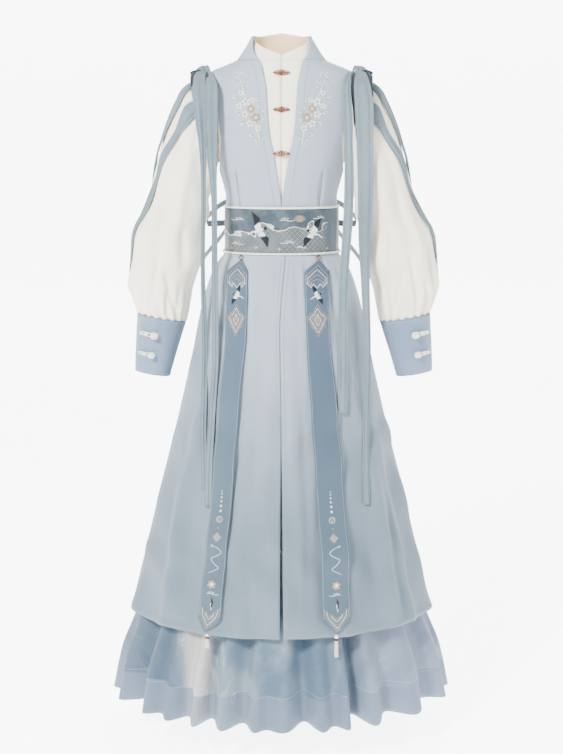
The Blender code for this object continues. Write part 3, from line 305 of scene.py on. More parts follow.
# %% Cuts, and how a sheet joins the frame
def cut_size(grid, closed=False):
    """Widest row, longest column and whole area of a sheet laid flat, in metres."""
    across, along = flat_map(grid, closed)
    width = float((across[:, -1] - across[:, 0]).max())
    length = float(along[-1].max())
    wide = np.linalg.norm(np.diff(grid, axis=1), axis=-1)
    tall = np.linalg.norm(np.diff(grid, axis=0), axis=-1)
    wide = (wide[1:] + wide[:-1]) / 2
    tall = (tall[:, 1:] + tall[:, :-1]) / 2
    area = float((wide * tall).sum())
    if closed:
        area *= grid.shape[1] / (grid.shape[1] - 1)
    return width, length, area


def wear(piece, node):
    """A finished piece rides on the body and stands for its solid in the frame."""
    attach(piece, "root")
    if node:
        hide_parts(node)
    return piece


def declare(piece, grid, rests_on, closed=False):
    """States the size that a sheet was cut to, worked out from its own grid."""
    width, length, area = cut_size(grid, closed)
    area = min(area, width * length)
    print("%s: cut %.0f x %.0f mm, %.3f square metres" % (piece.name, width * 1000,
                                                          length * 1000, area))


def sew(node, outer, inner, looks, rests_on, closed=False, cut=None):
    """Makes the sheet of one node, lets it ride, and states its cut; looks: material, and a slot
    name that is not used.
    """
    material, slot = looks
    piece = wear(wall(node + "_cloth", outer, inner, material, closed), node)
    declare(piece, outer if cut is None else cut, rests_on + "_cloth", closed)
    return piece


def sew_thin(node, grid, thickness, looks, rests_on):
    """A sheet laid on both sides of one grid of points."""
    n = grid_normals(grid) * thickness / 2
    return sew(node, grid + n, grid - n, looks, rests_on, cut=grid)


print("sheet builder ready")

# %% [markdown]
# ## Shader maths as expressions
# A weave is a product of waves, a wash is a sum of clouds. Written as sums and products the
# pattern can be read, so a small class wraps a socket and each operator adds its Math node.
# Every other node comes from one method, which takes the type, the settings and the inputs.

# %% Wires
class Wire:
    """A socket in a shader tree that takes part in sums."""

    def __init__(self, tree, socket=None):
        self.tree, self.socket = tree, socket

    def node(self, kind, settings=(), sockets=(), output=0):
        made = self.tree.nodes.new(kind)
        for name, value in dict(settings).items():
            if name == "stops":
                ramp = made.color_ramp
                ramp.elements[0].position, ramp.elements[1].position = value[0][0], value[-1][0]
                for place, _ in value[1:-1]:
                    ramp.elements.new(place)
                for element, (_, colour) in zip(ramp.elements, value):
                    element.color = (*colour, 1.0)
            else:
                setattr(made, name, value)
        for name, value in dict(sockets).items():
            if isinstance(value, Wire):
                self.tree.links.new(value.socket, made.inputs[name])
            else:
                made.inputs[name].default_value = value
        return Wire(self.tree, made.outputs[output])

    def math(self, operation, *values):
        return self.node("ShaderNodeMath", {"operation": operation}, enumerate(values))

    def __add__(self, other):
        return self.math("ADD", self, other)

    __radd__ = __add__

    def __sub__(self, other):
        return self.math("SUBTRACT", self, other)

    def __rsub__(self, other):
        return self.math("SUBTRACT", other, self)

    def __mul__(self, other):
        return self.math("MULTIPLY", self, other)

    __rmul__ = __mul__

    def sine(self):
        return self.math("SINE", self)

    def size(self):
        return self.math("ABSOLUTE", self)

    def ramp(self, start, end):
        """0 below start, 1 above end, smooth between; start may be the larger."""
        made = self.node("ShaderNodeMapRange", {"interpolation_type": "SMOOTHSTEP"},
                         {0: self, 1: min(start, end), 2: max(start, end)})
        return made if start < end else 1.0 - made

    def blend(self, low, high):
        """The colour low where this is 0, and high where it is 1."""
        colours = [c if isinstance(c, Wire) else (*c, 1.0) for c in (low, high)]
        return self.node("ShaderNodeMix", {"data_type": "RGBA"},
                         {0: self, 6: colours[0], 7: colours[1]}, 2)

    def part(self, letter):
        return self.node("ShaderNodeSeparateXYZ", (), {"Vector": self}, letter)

    def stretched(self, x, y, z):
        return self.node("ShaderNodeMapping", (), {"Vector": self, "Scale": (x, y, z)})

    def clouds(self, scale, detail=3.0, roughness=0.55, distortion=0.0):
        return self.node("ShaderNodeTexNoise", (), {
            "Vector": self, "Scale": scale, "Detail": detail, "Roughness": roughness,
            "Distortion": distortion})


# %% Tints and new materials
def tint(red, green, blue):
    """A colour as a screen shows it, 0 to 255, turned into light."""
    return tuple(((c / 255 + 0.055) / 1.055) ** 2.4 if c > 10 else c / 3294.6
                 for c in (red, green, blue))


SHEEN_SHARE = 0.25
TURN = 2 * math.pi


def start(name, roughness, sheen=0.0, metallic=0.0, coat=0.0, gloss=0.18):
    """A new material: its shader, its place on the flat cloth and its place in the room."""
    material = bpy.data.materials.new(name)
    material.use_nodes = True
    shader = material.node_tree.nodes["Principled BSDF"]
    shader.inputs["Roughness"].default_value = roughness
    shader.inputs["Metallic"].default_value = metallic
    shader.inputs["Sheen Weight"].default_value = sheen * SHEEN_SHARE
    shader.inputs["Specular IOR Level"].default_value = gloss
    shader.inputs["Coat Weight"].default_value = coat
    pen = Wire(material.node_tree)
    flat = pen.node("ShaderNodeUVMap", {"uv_map": "cloth"})
    place = pen.node("ShaderNodeTexCoord", output="Object")
    return material, shader, flat, place


def feed(shader, name, wire):
    """Lets a value drive one of the shader's sockets."""
    wire.tree.links.new(wire.socket, shader.inputs[name])


def dent(shader, height, distance, strength=1.0):
    """Raises the surface by a height from 0 to 1, at most distance metres."""
    feed(shader, "Normal", height.node("ShaderNodeBump", (), {
        "Height": height, "Distance": distance, "Strength": strength}))


def weave(flat, pitch_across, pitch_along):
    """Threads over and under one another: 1 on top of a thread, 0 between."""
    across = (flat.part("X") * (TURN / pitch_across)).sine()
    along = (flat.part("Y") * (TURN / pitch_along)).sine()
    return 0.5 + 0.5 * across * along


# %% [markdown]
# ## Plain cloths
# The vest and its ribbons are a soft matt crepe, the blouse a thin cream one, the cuffs and
# streamers a closer satin weave. Each finish starts from two near tints that drift into one
# another like cloth dyed in a bath, and gets a plain weave from its flat map, a little slub
# that runs along the threads, and the sheen of a brushed surface.

# %% Plain cloth finishes
DART_TOP = -0.214
DARTS = {
    # x at the top, x at the foot, how far it leans out as it rises
    "l": (0.0805, 0.073, 0.096),
    "r": (-0.09, -0.08, -0.128),
}


def dart_shade_line(place, top_x, lean):
    """A mask of painted shade along one waist dart: its x at the top, and how far it leans out as
    it rises.
    """
    reach = (place.part("Z") - DART_TOP) * lean + top_x
    line = (place.part("X") - reach).size().ramp(0.0016, 0.0005)
    return line * place.part("Z").ramp(-0.204, -0.224) * place.part("Z").ramp(-0.3, -0.29)


def plain_cloth(name, deep, pale, pitch, roughness, sheen, drift=7.0, slub=0.35, foot=None,
                darts=()):
    """A woven cloth between two tints; foot is the tint it drifts to toward its hem, and also the
    tint of the painted shade at its sides and along its darts.
    """
    material, shader, flat, place = start(name, roughness, sheen)
    threads = weave(flat, pitch, pitch * 1.15)
    cloudy = place.stretched(1.0, 1.0, 0.35).clouds(drift, 3.0, 0.6)
    streak = flat.stretched(900.0, 26.0, 1.0).clouds(1.0, 2.0)
    grain = flat.stretched(30.0, 800.0, 1.0).clouds(1.0, 2.0)
    share = (cloudy - 0.5) * 1.7 + 0.5 + (streak - 0.5) * slub + (grain - 0.5) * slub
    colour = share.blend(deep, pale)
    if foot:
        low = place.part("Z").ramp(-0.35, -1.05)
        colour = low.blend(colour, (share * 0.45).blend(foot, pale))
        # Painted shade: below the belt, the sides of the cloth more than 6 cm out from the middle
        # are darkened toward the foot tint.
        side = place.part("X").size().ramp(0.06, 0.17) * place.part("Z").ramp(-0.38, -0.6)
        colour = (side * 0.45).blend(colour, foot)
    # Painted shade: a dark line along each waist dart, where the dart's crease holds shade.
    for top_x, lean in darts:
        colour = (dart_shade_line(place, top_x, lean) * 0.75).blend(colour, foot)
    tone = (threads * 0.5 + streak * 0.5).ramp(0.1, 0.9)
    feed(shader, "Base Color", (0.1 * (1.0 - tone)).blend(colour, tuple(0.72 * c for c in deep)))
    feed(shader, "Roughness", roughness - 0.06 + 0.12 * grain)
    dent(shader, threads * 0.6 + streak * 0.3 + grain * 0.3, 0.00022)
    return material


VEST = plain_cloth("vest_crepe", tint(141, 155, 169), tint(160, 173, 185), 0.00062, 0.78, 0.25,
                   foot=tint(80, 97, 110),
                   darts=[(DARTS[side][0], DARTS[side][2]) for side in ("r", "l")])
BLOUSE = plain_cloth("blouse_crepe", tint(251, 240, 221), tint(255, 250, 237), 0.00055, 0.74,
                     0.2, drift=9.0, slub=0.25)
# A warmer, deeper beige than the blouse for the collar's inward faces: painted shade for the inside
# of the collar.
COLLAR_INSIDE_SHADE = plain_cloth("collar_lining", tint(248, 212, 170), tint(255, 226, 190), 0.00055, 0.8,
                     0.1)
CUFF_SATIN = plain_cloth("cuff_satin", tint(101, 120, 144), tint(120, 140, 161), 0.00048, 0.55,
                         0.2, drift=14.0)
RIBBON = plain_cloth("ribbon_georgette", tint(93, 110, 120), tint(118, 134, 143), 0.0006,
                     0.74, 0.25, drift=12.0)
TIE = plain_cloth("tie_satin", tint(70, 84, 100), tint(92, 108, 124), 0.00048, 0.55, 0.2)
STREAMER_SATIN = plain_cloth("streamer_satin", tint(59, 77, 97), tint(76, 94, 113), 0.00045,
                             0.52, 0.2, drift=8.0, foot=tint(70, 88, 100))
print("plain cloths:", 7)

# %% [markdown]
# ## The skirt's washes
# The skirt is thin cloth brushed with watery dye. Pools of pale blue, grey and cream lie over
# one another with soft edges, and a broad grey-lilac band is folded up at the hem. The washes
# are layers of clouds stretched along the flat cloth, mixed where the one below shows
# through. Fine pale contour lines follow the edge of a pool, as a dried wash leaves them.

# %% Skirt finish
SKIRT_BAND_Z = -1.222


def skirt_wash():
    """Washes of blue, grey, cream and lilac over one another, and the folded band."""
    material, shader, flat, place = start("skirt_wash", 0.7, 0.2)
    across = flat.part("X")
    up = place.part("Z")
    threads = weave(flat, 0.00055, 0.00062)
    drift = flat.stretched(1.0, 0.62, 1.0)
    pools = drift.clouds(5.2, 4.0, 0.5, 0.9)
    tides = drift.stretched(1.7, 1.0, 1.0).clouds(8.5, 3.0, 0.5, 1.6)
    mist = drift.clouds(2.4, 2.0, 0.5)
    colour = pools.ramp(0.38, 0.62).blend(tint(70, 90, 108), tint(113, 128, 140))
    colour = (tides.ramp(0.5, 0.66) * 0.55).blend(colour, tint(72, 92, 112))
    colour = (mist.ramp(0.58, 0.72) * 0.5).blend(colour, tint(206, 202, 192))
    ink = (drift.stretched(1.0, 2.3, 1.0).clouds(13.0, 5.0, 0.62, 2.2) - 0.5).size()
    colour = (ink.ramp(0.012, 0.002) * mist.ramp(0.5, 0.44) * 0.6).blend(
        colour, tint(84, 104, 124))
    line = (tides - 0.5).size()
    colour = (line.ramp(0.006, 0.002) * pools.ramp(0.54, 0.6) * 0.55).blend(
        colour, tint(226, 230, 232))
    front = place.part("Y").ramp(0.02, -0.05)
    deep = place.part("X").ramp(-0.185, -0.225) * front
    colour = (deep * 0.85).blend(colour, tint(52, 70, 88))
    cream = place.part("X").ramp(-0.2, -0.178) * place.part("X").ramp(-0.128, -0.15) * front
    colour = (cream * 0.62).blend(colour, tint(186, 184, 174))
    lilac = place.part("X").ramp(0.08, 0.2) * front
    colour = (lilac * 0.6).blend(colour, tint(112, 120, 140))
    wave = (across * 21.0).sine() * 0.006 + (across * 53.0).sine() * 0.002
    band = (up + wave).ramp(SKIRT_BAND_Z, SKIRT_BAND_Z - 1.5 * MM)
    colour = (band * 0.72).blend(colour, tint(94, 106, 124))
    colour = ((1.0 - threads) * 0.07).blend(colour, tint(90, 104, 120))
    feed(shader, "Base Color", colour)
    feed(shader, "Roughness", 0.66 + 0.1 * pools)
    dent(shader, threads * 0.6 + pools * 0.4, 0.00022)
    return material


SKIRT = skirt_wash()

# %% [markdown]
# ## The belt's brocade
# A brocade carries its pattern in its threads: a raised, paler weft floats over a darker
# ground. The belt's ground has the old net of diamonds in its lower half, breaking off in
# cloud edges, and the rest is left for the needle. The diamonds are two sets of slanting
# lines, and the cloud edge is a threshold on a soft noise.

# %% Belt finish
DIAMOND = 10.5 * MM
NET_EDGE_Z = -0.3275
CLOUD_REACH = 0.1


def belt_brocade():
    """A net of diamonds below a cloud edge, on a ground left plain for the needle."""
    material, shader, flat, place = start("belt_brocade", 0.5, 0.15)
    across, up = flat.part("X"), place.part("Z")
    one, two = ((slant * (math.pi / DIAMOND)).sine().size()
                for slant in (across + up, across - up))
    nearest = one.math("MINIMUM", one, two)
    net, small = nearest.ramp(0.34, 0.16), nearest.ramp(0.78, 0.9)
    cloud = flat.clouds(16.0, 2.0, 0.5, 0.7)
    wavy = up + (cloud - 0.5) * CLOUD_REACH
    low = wavy.ramp(NET_EDGE_Z + 1.5 * MM, NET_EDGE_Z - 1.5 * MM)
    threads = weave(flat, 0.0005, 0.0007)
    ground = flat.clouds(24.0, 3.0).ramp(0.4, 0.6).blend(tint(50, 62, 72), tint(72, 84, 92))
    lower = flat.clouds(40.0, 3.0).ramp(0.4, 0.6).blend(tint(48, 60, 70), tint(70, 82, 89))
    colour = low.blend(ground, lower)
    colour = (low * net * 0.5).blend(colour, tint(160, 168, 166))
    colour = (low * small * 0.4).blend(colour, tint(160, 156, 138))
    edge = (wavy - NET_EDGE_Z).size()
    colour = (edge.ramp(0.0013, 0.0006) * 0.9).blend(colour, tint(214, 214, 206))
    end = place.part("X").ramp(0.0895, 0.0905) * place.part("Y").ramp(0.0, -0.004)
    colour = end.blend(colour, tint(74, 89, 102))
    feed(shader, "Base Color", ((1.0 - threads) * 0.1).blend(colour, tint(70, 86, 104)))
    feed(shader, "Roughness", 0.56 - 0.16 * (low * net))
    dent(shader, threads * 0.35 + low * net * 0.8, 0.0003)
    return material


BELT = belt_brocade()

# %% [markdown]
# ## Thread, cord and bronze
# Silk floss shines along its stitches, so the embroidery threads get fine ridges across the
# worked line. The cords are twisted, and the clasps are cast in a reddish bronze that is
# brighter where hands rub it and darker in its hollows.

# %% Thread and metal finishes
def thread(name, deep, pale, roughness, ridges=0.0004):
    """Floss or cord between two tints, with ridges across its run at a given pitch."""
    material, shader, flat, place = start(name, roughness, 0.15)
    rows = (flat.part("X") * (TURN / ridges)).sine() * 0.5 + 0.5
    fuzz = place.clouds(900.0, 2.0)
    feed(shader, "Base Color", (rows * 0.6 + fuzz * 0.4).blend(deep, pale))
    feed(shader, "Roughness", roughness - 0.08 + 0.16 * fuzz)
    dent(shader, rows * 0.7 + fuzz * 0.5, 0.00012)
    return material


WHITE_THREAD = thread("floss_white", tint(202, 206, 208), tint(236, 238, 237), 0.45)
GOLD_THREAD = thread("floss_gold", tint(122, 104, 76), tint(176, 158, 124), 0.42)
BLACK_THREAD = thread("floss_black", tint(10, 13, 19), tint(28, 33, 41), 0.6)
GREY_THREAD = thread("floss_grey", tint(104, 116, 126), tint(146, 156, 164), 0.45)
RED_THREAD = thread("floss_red", tint(140, 50, 44), tint(176, 76, 64), 0.45)
SEWING = thread("sewing_thread", tint(150, 166, 182), tint(196, 206, 216), 0.55)
CORD = thread("white_cord", tint(214, 208, 194), tint(242, 238, 228), 0.6, 0.0009)
TASSEL = thread("tassel_silk", tint(212, 206, 194), tint(244, 241, 233), 0.5, 0.0006)
# Near-black cloth laid in the shoulder knots' hollows: painted shadow.
PLEAT_SHADOW_PAINT = thread("pleat_shadow", tint(24, 30, 38), tint(44, 52, 62), 0.85, 0.0008)


def bronze():
    """Cast bronze, brighter where it is rubbed."""
    material, shader, _, place = start("rose_bronze", 0.36, 0.0, 1.0, gloss=0.5)
    worn = place.clouds(420.0, 4.0, 0.6)
    colour = worn.ramp(0.35, 0.68).blend(tint(62, 32, 20), tint(176, 108, 78))
    feed(shader, "Base Color", colour)
    feed(shader, "Roughness", 0.28 + 0.26 * worn.ramp(0.65, 0.35))
    dent(shader, worn, 0.00015)
    return material


BRONZE = bronze()
print("finishes:", len(bpy.data.materials))

# %% [markdown]
# ## The vest
# The vest is cut as two fronts and a back. It hangs from the shoulders, is drawn in by the
# belt and falls in long soft folds. The broad folds are part of its form. The finer creases
# are listed one by one, each as one row: from a place on the front to another, how wide, and
# how high or deep. Two short darts take in the waist, and the cloth pulls a little at the belt.

# %% The vest's form
VEST_EDGE = in_metres((
    # z, half opening at the front
    (-1106, 3.6), (-900, 2.2), (-680, 0.4), (-280, 0.4), (-257, 3), (-220, 9.2), (-184, 14.5),
    (-160, 20.5), (-140, 24), (-92, 28), (-54, 30.2), (-40, 32.9), (-14, 37.8), (1, 43.7),
))
VEST_MIDDLE = in_metres((
    # z, x of the line where the edges meet
    (-1106, 0), (-680, -1), (-520, -3), (-430, 3), (-385, 7.5), (-340, 4), (-280, 0), (1, 0),
))
VEST_ARMHOLE = {"middle": -0.125, "half_height": 0.095, "half_angle": math.radians(36.0)}
BLOUSE_ARMHOLE = {"middle": -0.118, "half_height": 0.082, "half_angle": math.radians(30.0)}
SLEEVE_START = {"middle": -0.118, "half_height": 0.0792, "half_angle": math.radians(28.2)}
VEST_FOLDS = in_metres((
    # angle in degrees, width, depth, top z, foot z
    (25, 5, 2, -385, -520), (40, 5.5, 2.5, -385, -640), (-44, 5.5, 2.2, -385, -600),
    (-58, 9, 6, -560, -1200), (-36, 6, 4, -640, -1200), (16, 6, 4, -700, -1200),
    (40, 7, 5.5, -600, -1200), (66, 9, 6, -560, -1200), (100, 8, 5.5, -560, -1200),
    (124, 8, 6, -500, -1200), (150, 8, 5.5, -450, -1200), (176, 8, 6, -420, -1200),
    (204, 8, 5.5, -450, -1200), (232, 8, 6, -500, -1200), (258, 8, 5.5, -560, -1200),
), keep=(0, 1))
FRONT_CREASES = in_metres((
    # from x, from z, to x, to z, half width, height
    (-90, -214, -80, -292, 3.2, -4.8), (80.5, -214, 73, -292, 3.2, -4.8),
    (-118, -40, -112, -190, 9, 2.2), (-96, -60, -100, -200, 8, -1.2), (116, -40, 111, -180, 9, 2.2),
    (94, -60, 98, -210, 8, -1.2), (113, -285, 93, -205, 5, -1.6), (-112, -285, -98, -225, 5, -1.4),
    (30, -284, 24, -238, 4, 1), (-35, -284, -26, -232, 4, 1), (-58, -285, -56, -245, 4, 1.2),
    (54, -285, 50, -240, 4, 1.2), (74, -372, 96, -428, 4.2, -4), (95, -420, 108, -500, 4.8, -4.4),
    (104, -385, 118, -425, 4.5, -3.4), (112, -430, 131, -545, 7, 3.6),
    (123, -450, 152, -620, 9, -5), (148, -560, 164, -800, 14, -5),
    (-132, -420, -111, -540, 7, -4.6), (-113, -500, -116, -760, 8.5, -4.8),
    (-164, -540, -137, -760, 11, -5), (-100, -380, -106, -450, 5, 2.6),
    (30, -380, 33, -520, 8, -1.8), (-42, -380, -45, -560, 8.5, -2), (-18, -385, -20, -480, 6, 1.6),
    (45, -380, 52, -470, 4, -2), (58, -380, 64, -440, 3.4, 1.8), (-60, -380, -65, -450, 3.8, 1.8),
    (86, -382, 102, -460, 3.6, 2.6), (-98, -400, -122, -500, 4.4, -3), (16, -520, 18, -900, 13, 3),
    (-26, -560, -30, -940, 14, 3), (42, -640, 50, -1080, 10, -3), (-60, -700, -68, -1090, 11, -3.4),
    (180, -700, 205, -1090, 13, 4.4), (-190, -720, -214, -1090, 14, 4),
))
DEEPEST = 6.6 * MM
HEM_SWELL = 3.5 * MM
RIDGE_OPENING = 0.3
VEST_RIDGES = in_metres((
    # angle in degrees, width, height, top z
    (-76, 5.5, 4, -520), (-50, 4.5, 10.8, -440), (-29, 4, 8.4, -480), (-13, 3.5, 5.4, -560),
    (9, 3.2, 5.4, -620), (24, 4, 8.4, -500), (47, 4.5, 10.8, -430), (58, 3.5, 8.9, -640),
    (77, 5.5, 4, -540), (112, 5, 4, -520), (137, 5, 10.8, -460), (163, 5, 9.5, -430),
    (190, 5, 10.1, -430), (218, 5, 10.8, -460), (246, 5, 4, -520),
), keep=(0, 1))
BACK_CREASES = in_metres((
    # from x, from z, to x, to z, half width, height
    (-70, -205, -64, -292, 3.4, -1.8), (72, -205, 66, -292, 3.4, -1.8),
    (110, -285, 84, -215, 5, -1.4), (-108, -285, -88, -225, 5, -1.4),
    (20, -284, 14, -225, 4.6, 1.2), (-28, -284, -34, -235, 4.6, 1), (-112, -40, -98, -180, 10, 2),
    (108, -40, 94, -170, 10, 2), (50, -380, 62, -500, 6, -3.6), (-56, -380, -70, -520, 6.5, -3.8),
    (12, -380, 10, -470, 5.5, 2.4), (105, -390, 124, -560, 8, -4.4),
    (-102, -390, -126, -580, 8, -4.2), (30, -520, 42, -900, 12, 3.4),
    (-34, -500, -52, -880, 12, 3.4), (-130, -640, -158, -1060, 13, -4.4),
    (140, -620, 166, -1080, 13, -4.4),
))


# %% The vest's surface
def rumple(across, up, size):
    """The slight unevenness of hanging cloth: slow waves that never line up."""
    return size * (np.sin(across * 61.0 + 5.1 * np.sin(up * 13.0))
                   + 0.6 * np.sin(across * 97.0 - up * 23.0 + 1.7)
                   + 0.5 * np.sin(across * 31.0 + up * 41.0))


def bell(angle, middle, width):
    """1 at an angle in degrees and less to both sides, the same all the way round."""
    turn = np.degrees(np.angle(np.exp(1j * (angle - math.radians(middle)))))
    return np.exp(-(turn / width) ** 2)


def vest_trough(angle, z):
    """Depth of the vest's broad folds at a place."""
    depth = 0 * (angle + z)
    for middle, width, deep, top, foot in VEST_FOLDS:
        shape = bell(angle, middle, width)
        if foot < -1.15:
            shape = shape * ease(z, top, VEST_HEM)
        else:
            shape = shape * ease(z, top + 0.006, top - 0.02) * ease(z, foot, foot + 0.07)
        depth = depth + deep * shape
    return depth


def vest_ridge(angle, z):
    """Height of the vest's soft ridges, which open out toward the hem."""
    height = 0 * (angle + z)
    for middle, width, high, top in VEST_RIDGES:
        height = height + high * bell(angle, middle, width) * ease(z, top, top - RIDGE_OPENING)
    return height


def vest_relief(angle, z):
    """How far the vest's folds and creases stand out from the form, or in where negative."""
    angle = np.asarray(angle, dtype=float)
    z = np.asarray(z, dtype=float) + 0 * angle
    swell = HEM_SWELL * ease(z, -0.56, VEST_HEM)
    x = form(angle, z)[..., 0]
    front = np.cos(angle) > 0
    hand = np.where(front, creases(FRONT_CREASES, x, z), creases(BACK_CREASES, x, z))
    hand = hand + rumple(x + 0.07 * ~front, z, 0.0003 + 0.0007 * ease(z, -0.42, -0.6))
    hand = hand * np.clip(np.abs(np.cos(angle)) / 0.12, 0.0, 1.0) ** 2
    free = 1.0 - ease(z, -0.394, -0.377) * ease(z, -0.278, -0.287)
    hand = hand * (1.0 + ease(z, -0.385, -0.44)) + vest_ridge(angle, z)
    relief = swell - vest_trough(angle, z) + hand * free
    return np.where(relief < 0, -DEEPEST * np.tanh(-relief / DEEPEST), relief)


def vest(angle, z, out=0.0):
    """A point of the vest's outer face with its folds and creases, moved out by a distance."""
    return layer(angle, z, vest_relief(angle, z) + out)


def on_vest(x, z, out):
    """A point over the vest's front at a given x and height."""
    return vest(angle_at(x, z), z, out)


# %% [markdown]
# ## Panels and their rows
# Each panel is a grid. Its rows are closer together where the armhole turns, so that the
# round edge stays round, and its columns run from the front edge to the side seam. At the
# side seams two panels meet in one line.

# %% Vest panels
VEST_ROWS = 120
ARM_ROWS = 44
VEST_COLUMNS = 76


def armhole_angle(z, armhole):
    """The angle of a panel's side edge: the side seam, or the armhole's edge where it is cut."""
    height = np.clip((z - armhole["middle"]) / armhole["half_height"], -1.0, 1.0)
    return math.pi / 2 - armhole["half_angle"] * np.sqrt(1 - height * height)


def panel_rows(foot, count, armhole):
    """Heights of a bodice panel's rows, from its foot to the neck."""
    low = armhole["middle"] - armhole["half_height"]
    arm = armhole["middle"] - armhole["half_height"] * np.cos(np.linspace(0, math.pi, ARM_ROWS))
    return np.concatenate([np.linspace(foot, low, count)[:-1], arm,
                           np.linspace(arm[-1], NECK_Z, 9)[1:]])


def edge_angle(z, side):
    """The angle of the vest's front edge; side is 1 for the wearer's left, -1 for the right."""
    return angle_at(smooth(z, VEST_EDGE, 1) + side * smooth(z, VEST_MIDDLE, 1), z)


def front_panel(rows, columns, start_angle, armhole):
    """Angles and heights of a front panel, from its front edge out to its side edge."""
    side = armhole_angle(rows, armhole)
    share = np.linspace(0.0, 1.0, columns)[None, :]
    angle = start_angle[:, None] * (1 - share) + side[:, None] * share
    return angle, np.repeat(rows[:, None], columns, axis=1)


def back_panel(rows, columns, armhole):
    """Angles and heights of a back panel, from one side edge round to the other."""
    side = armhole_angle(rows, armhole)
    share = np.linspace(-1.0, 1.0, columns)[None, :]
    return math.pi + side[:, None] * share, np.repeat(rows[:, None], columns, axis=1)


def vest_panel(node, angle, z):
    """One panel of the vest over a grid of angles and heights."""
    sew(node, vest(angle, z, VEST_OUT), vest(angle, z, VEST_OUT - CLOTH), (VEST, "vest_cloth"),
        "belt")


vest_rows = panel_rows(VEST_HEM, VEST_ROWS, VEST_ARMHOLE)
for letter, sign in SIDES.items():
    angle, z = front_panel(vest_rows, VEST_COLUMNS, edge_angle(vest_rows, sign), VEST_ARMHOLE)
    vest_panel("vest_front_" + letter, angle * sign, z)
vest_panel("vest_back", *back_panel(vest_rows, 2 * VEST_COLUMNS - 1, VEST_ARMHOLE))

# %% [markdown]
# ## The blouse's body and the two collars
# The blouse shows only between the vest's edges, but it goes all round, since the parts
# under the vest are seen from below and through the armholes. Both collars stand up from the
# neck edge. The vest's runs on from its front edges like a shawl, and the blouse's closes in
# front with its corners cut back. The inward faces of the blouse's collar get a warmer, deeper
# beige than the blouse, as painted shade for the inside of the collar.

# %% Blouse body and collars
COLLAR = {
    # half width, front depth and back depth of the top; its height at the front, side, back
    "vest": {"size": (0.0585, 0.05, 0.062), "height": (0.044, 0.047, 0.05)},
    "blouse": {"size": (0.0535, 0.045, 0.056), "height": (0.008, 0.04, 0.056)},
}


def blouse_panel(node, angle, z):
    """One panel of the blouse's body, close inside the vest."""
    sew(node, layer(angle, z, BLOUSE_OUT), layer(angle, z, BLOUSE_OUT - THIN_CLOTH),
        (BLOUSE, "blouse_cloth"), "skirt_waistband")


blouse_rows = panel_rows(BLOUSE_HEM, 16, BLOUSE_ARMHOLE)
middle_edge = angle_at(SEAM / 2 + 0 * blouse_rows, blouse_rows)
for letter, sign in SIDES.items():
    angle, z = front_panel(blouse_rows, 26, middle_edge, BLOUSE_ARMHOLE)
    blouse_panel("blouse_front_" + letter, angle * sign, z)
blouse_panel("blouse_back", *back_panel(blouse_rows, 51, BLOUSE_ARMHOLE))


def collar(garment, foot_out, front_foot, front_top, thickness, material):
    """A standing collar from the neck edge up and in, open at the front."""
    size = COLLAR[garment]["size"]
    heights = list(zip((0.0, math.pi / 2, math.pi), COLLAR[garment]["height"]))
    half = np.linspace(math.pi / 2, math.pi, 40)

    def grid(inset):
        rows = []
        for rise in np.linspace(0.0, 1.0, 14):
            first = front_foot * (1 - rise) + front_top * rise
            angle = np.concatenate([np.linspace(first, math.pi / 2, 40), half[1:]])
            angle = np.concatenate([angle, 2 * math.pi - angle[-2::-1]])
            level = 0 * angle + NECK_Z
            foot = layer(angle, level, foot_out - inset)
            upward = form(angle, level + MM) - form(angle, level)
            foot += unit(upward) * SEAM / 6
            x, y = oval(angle, size[0] - inset, size[1] - inset, size[2] - inset, 2.2)
            away = np.abs(np.angle(np.exp(1j * angle)))
            top = xyz(x, y, smooth(away, heights, 1))
            point = foot * (1 - rise) + top * rise
            point[..., 2] -= 0.002 * math.sin(math.pi * rise)
            rows.append(point)
        return np.array(rows)

    return sew(garment + "_collar", grid(0.0), grid(thickness), (material, garment + "_cloth"),
               garment + "_back")


collar("vest", VEST_OUT, math.radians(29.0), math.radians(66.0), CLOTH, VEST)
inner_collar = collar("blouse", BLOUSE_OUT, math.radians(0.35), math.radians(0.5), THIN_CLOTH,
                      BLOUSE)
# The collar's inward faces, which lie in shade, take the deeper beige: painted shade.
inner_collar.data.materials.append(COLLAR_INSIDE_SHADE)
for polygon in inner_collar.data.polygons:
    inward = polygon.normal.x * polygon.center.x + polygon.normal.y * polygon.center.y < 0
    polygon.material_index = 1 if inward and abs(polygon.normal.z) < 0.9 else 0
print("collars stand to z", COLLAR["blouse"]["height"][2])

# %% [markdown]
# ## Sleeves and cuffs
# Each sleeve is a full tube. It is eased into the armhole, balloons below the elbow, and is
# gathered into a deep cuff. Oval sections down the arm give the tube, a fine cosine the
# gathers at its two ends, and a table the creases, written as places along and round it.
# The other sleeve is the mirror image with its creases shifted a little.

# %% Sleeve form
SLEEVE = in_metres((
    # place, outer x, outer z, inner x, inner z, half depth, middle y
    (0, 160, -38, 125, -200, 52, 2), (0.1, 185, -42, 133, -217, 59, 1),
    (0.2, 206, -80, 137, -244, 62, 0), (0.32, 232, -154, 143, -270, 62, -2),
    (0.44, 258, -230, 150, -300, 61, -4), (0.56, 277, -300, 156.5, -338, 62, -8),
    (0.68, 300, -356, 161, -378, 67, -12), (0.8, 311, -410, 171, -416, 69, -16),
    (0.88, 311, -441, 181, -456, 65, -19), (0.95, 303, -472, 190, -490, 58, -21),
    (1, 293, -495.5, 196, -512.5, 48, -22),
), keep=(0,))
SLEEVE_REACH = {"l": 1.012, "r": 0.982}
SLEEVE_SHIFT = {"l": 5.0, "r": 0.0}
SLEEVE_LENGTH, SLEEVE_RADIUS = 0.52, 0.062
SLEEVE_GATHERS = 18
GATHER_DEPTH = 2.6 * MM
CUFF_TOP_Z, CUFF_BOTTOM_Z = -0.506, -0.6235
CUFF_SLOPE, CUFF_MIDDLE_X = 0.17, 0.245
CUFF = {"top_out": 0.2955, "top_in": 0.195, "foot_out": 0.301, "foot_in": 0.229,
        "top_depth": 0.049, "foot_depth": 0.036, "y": -0.022}
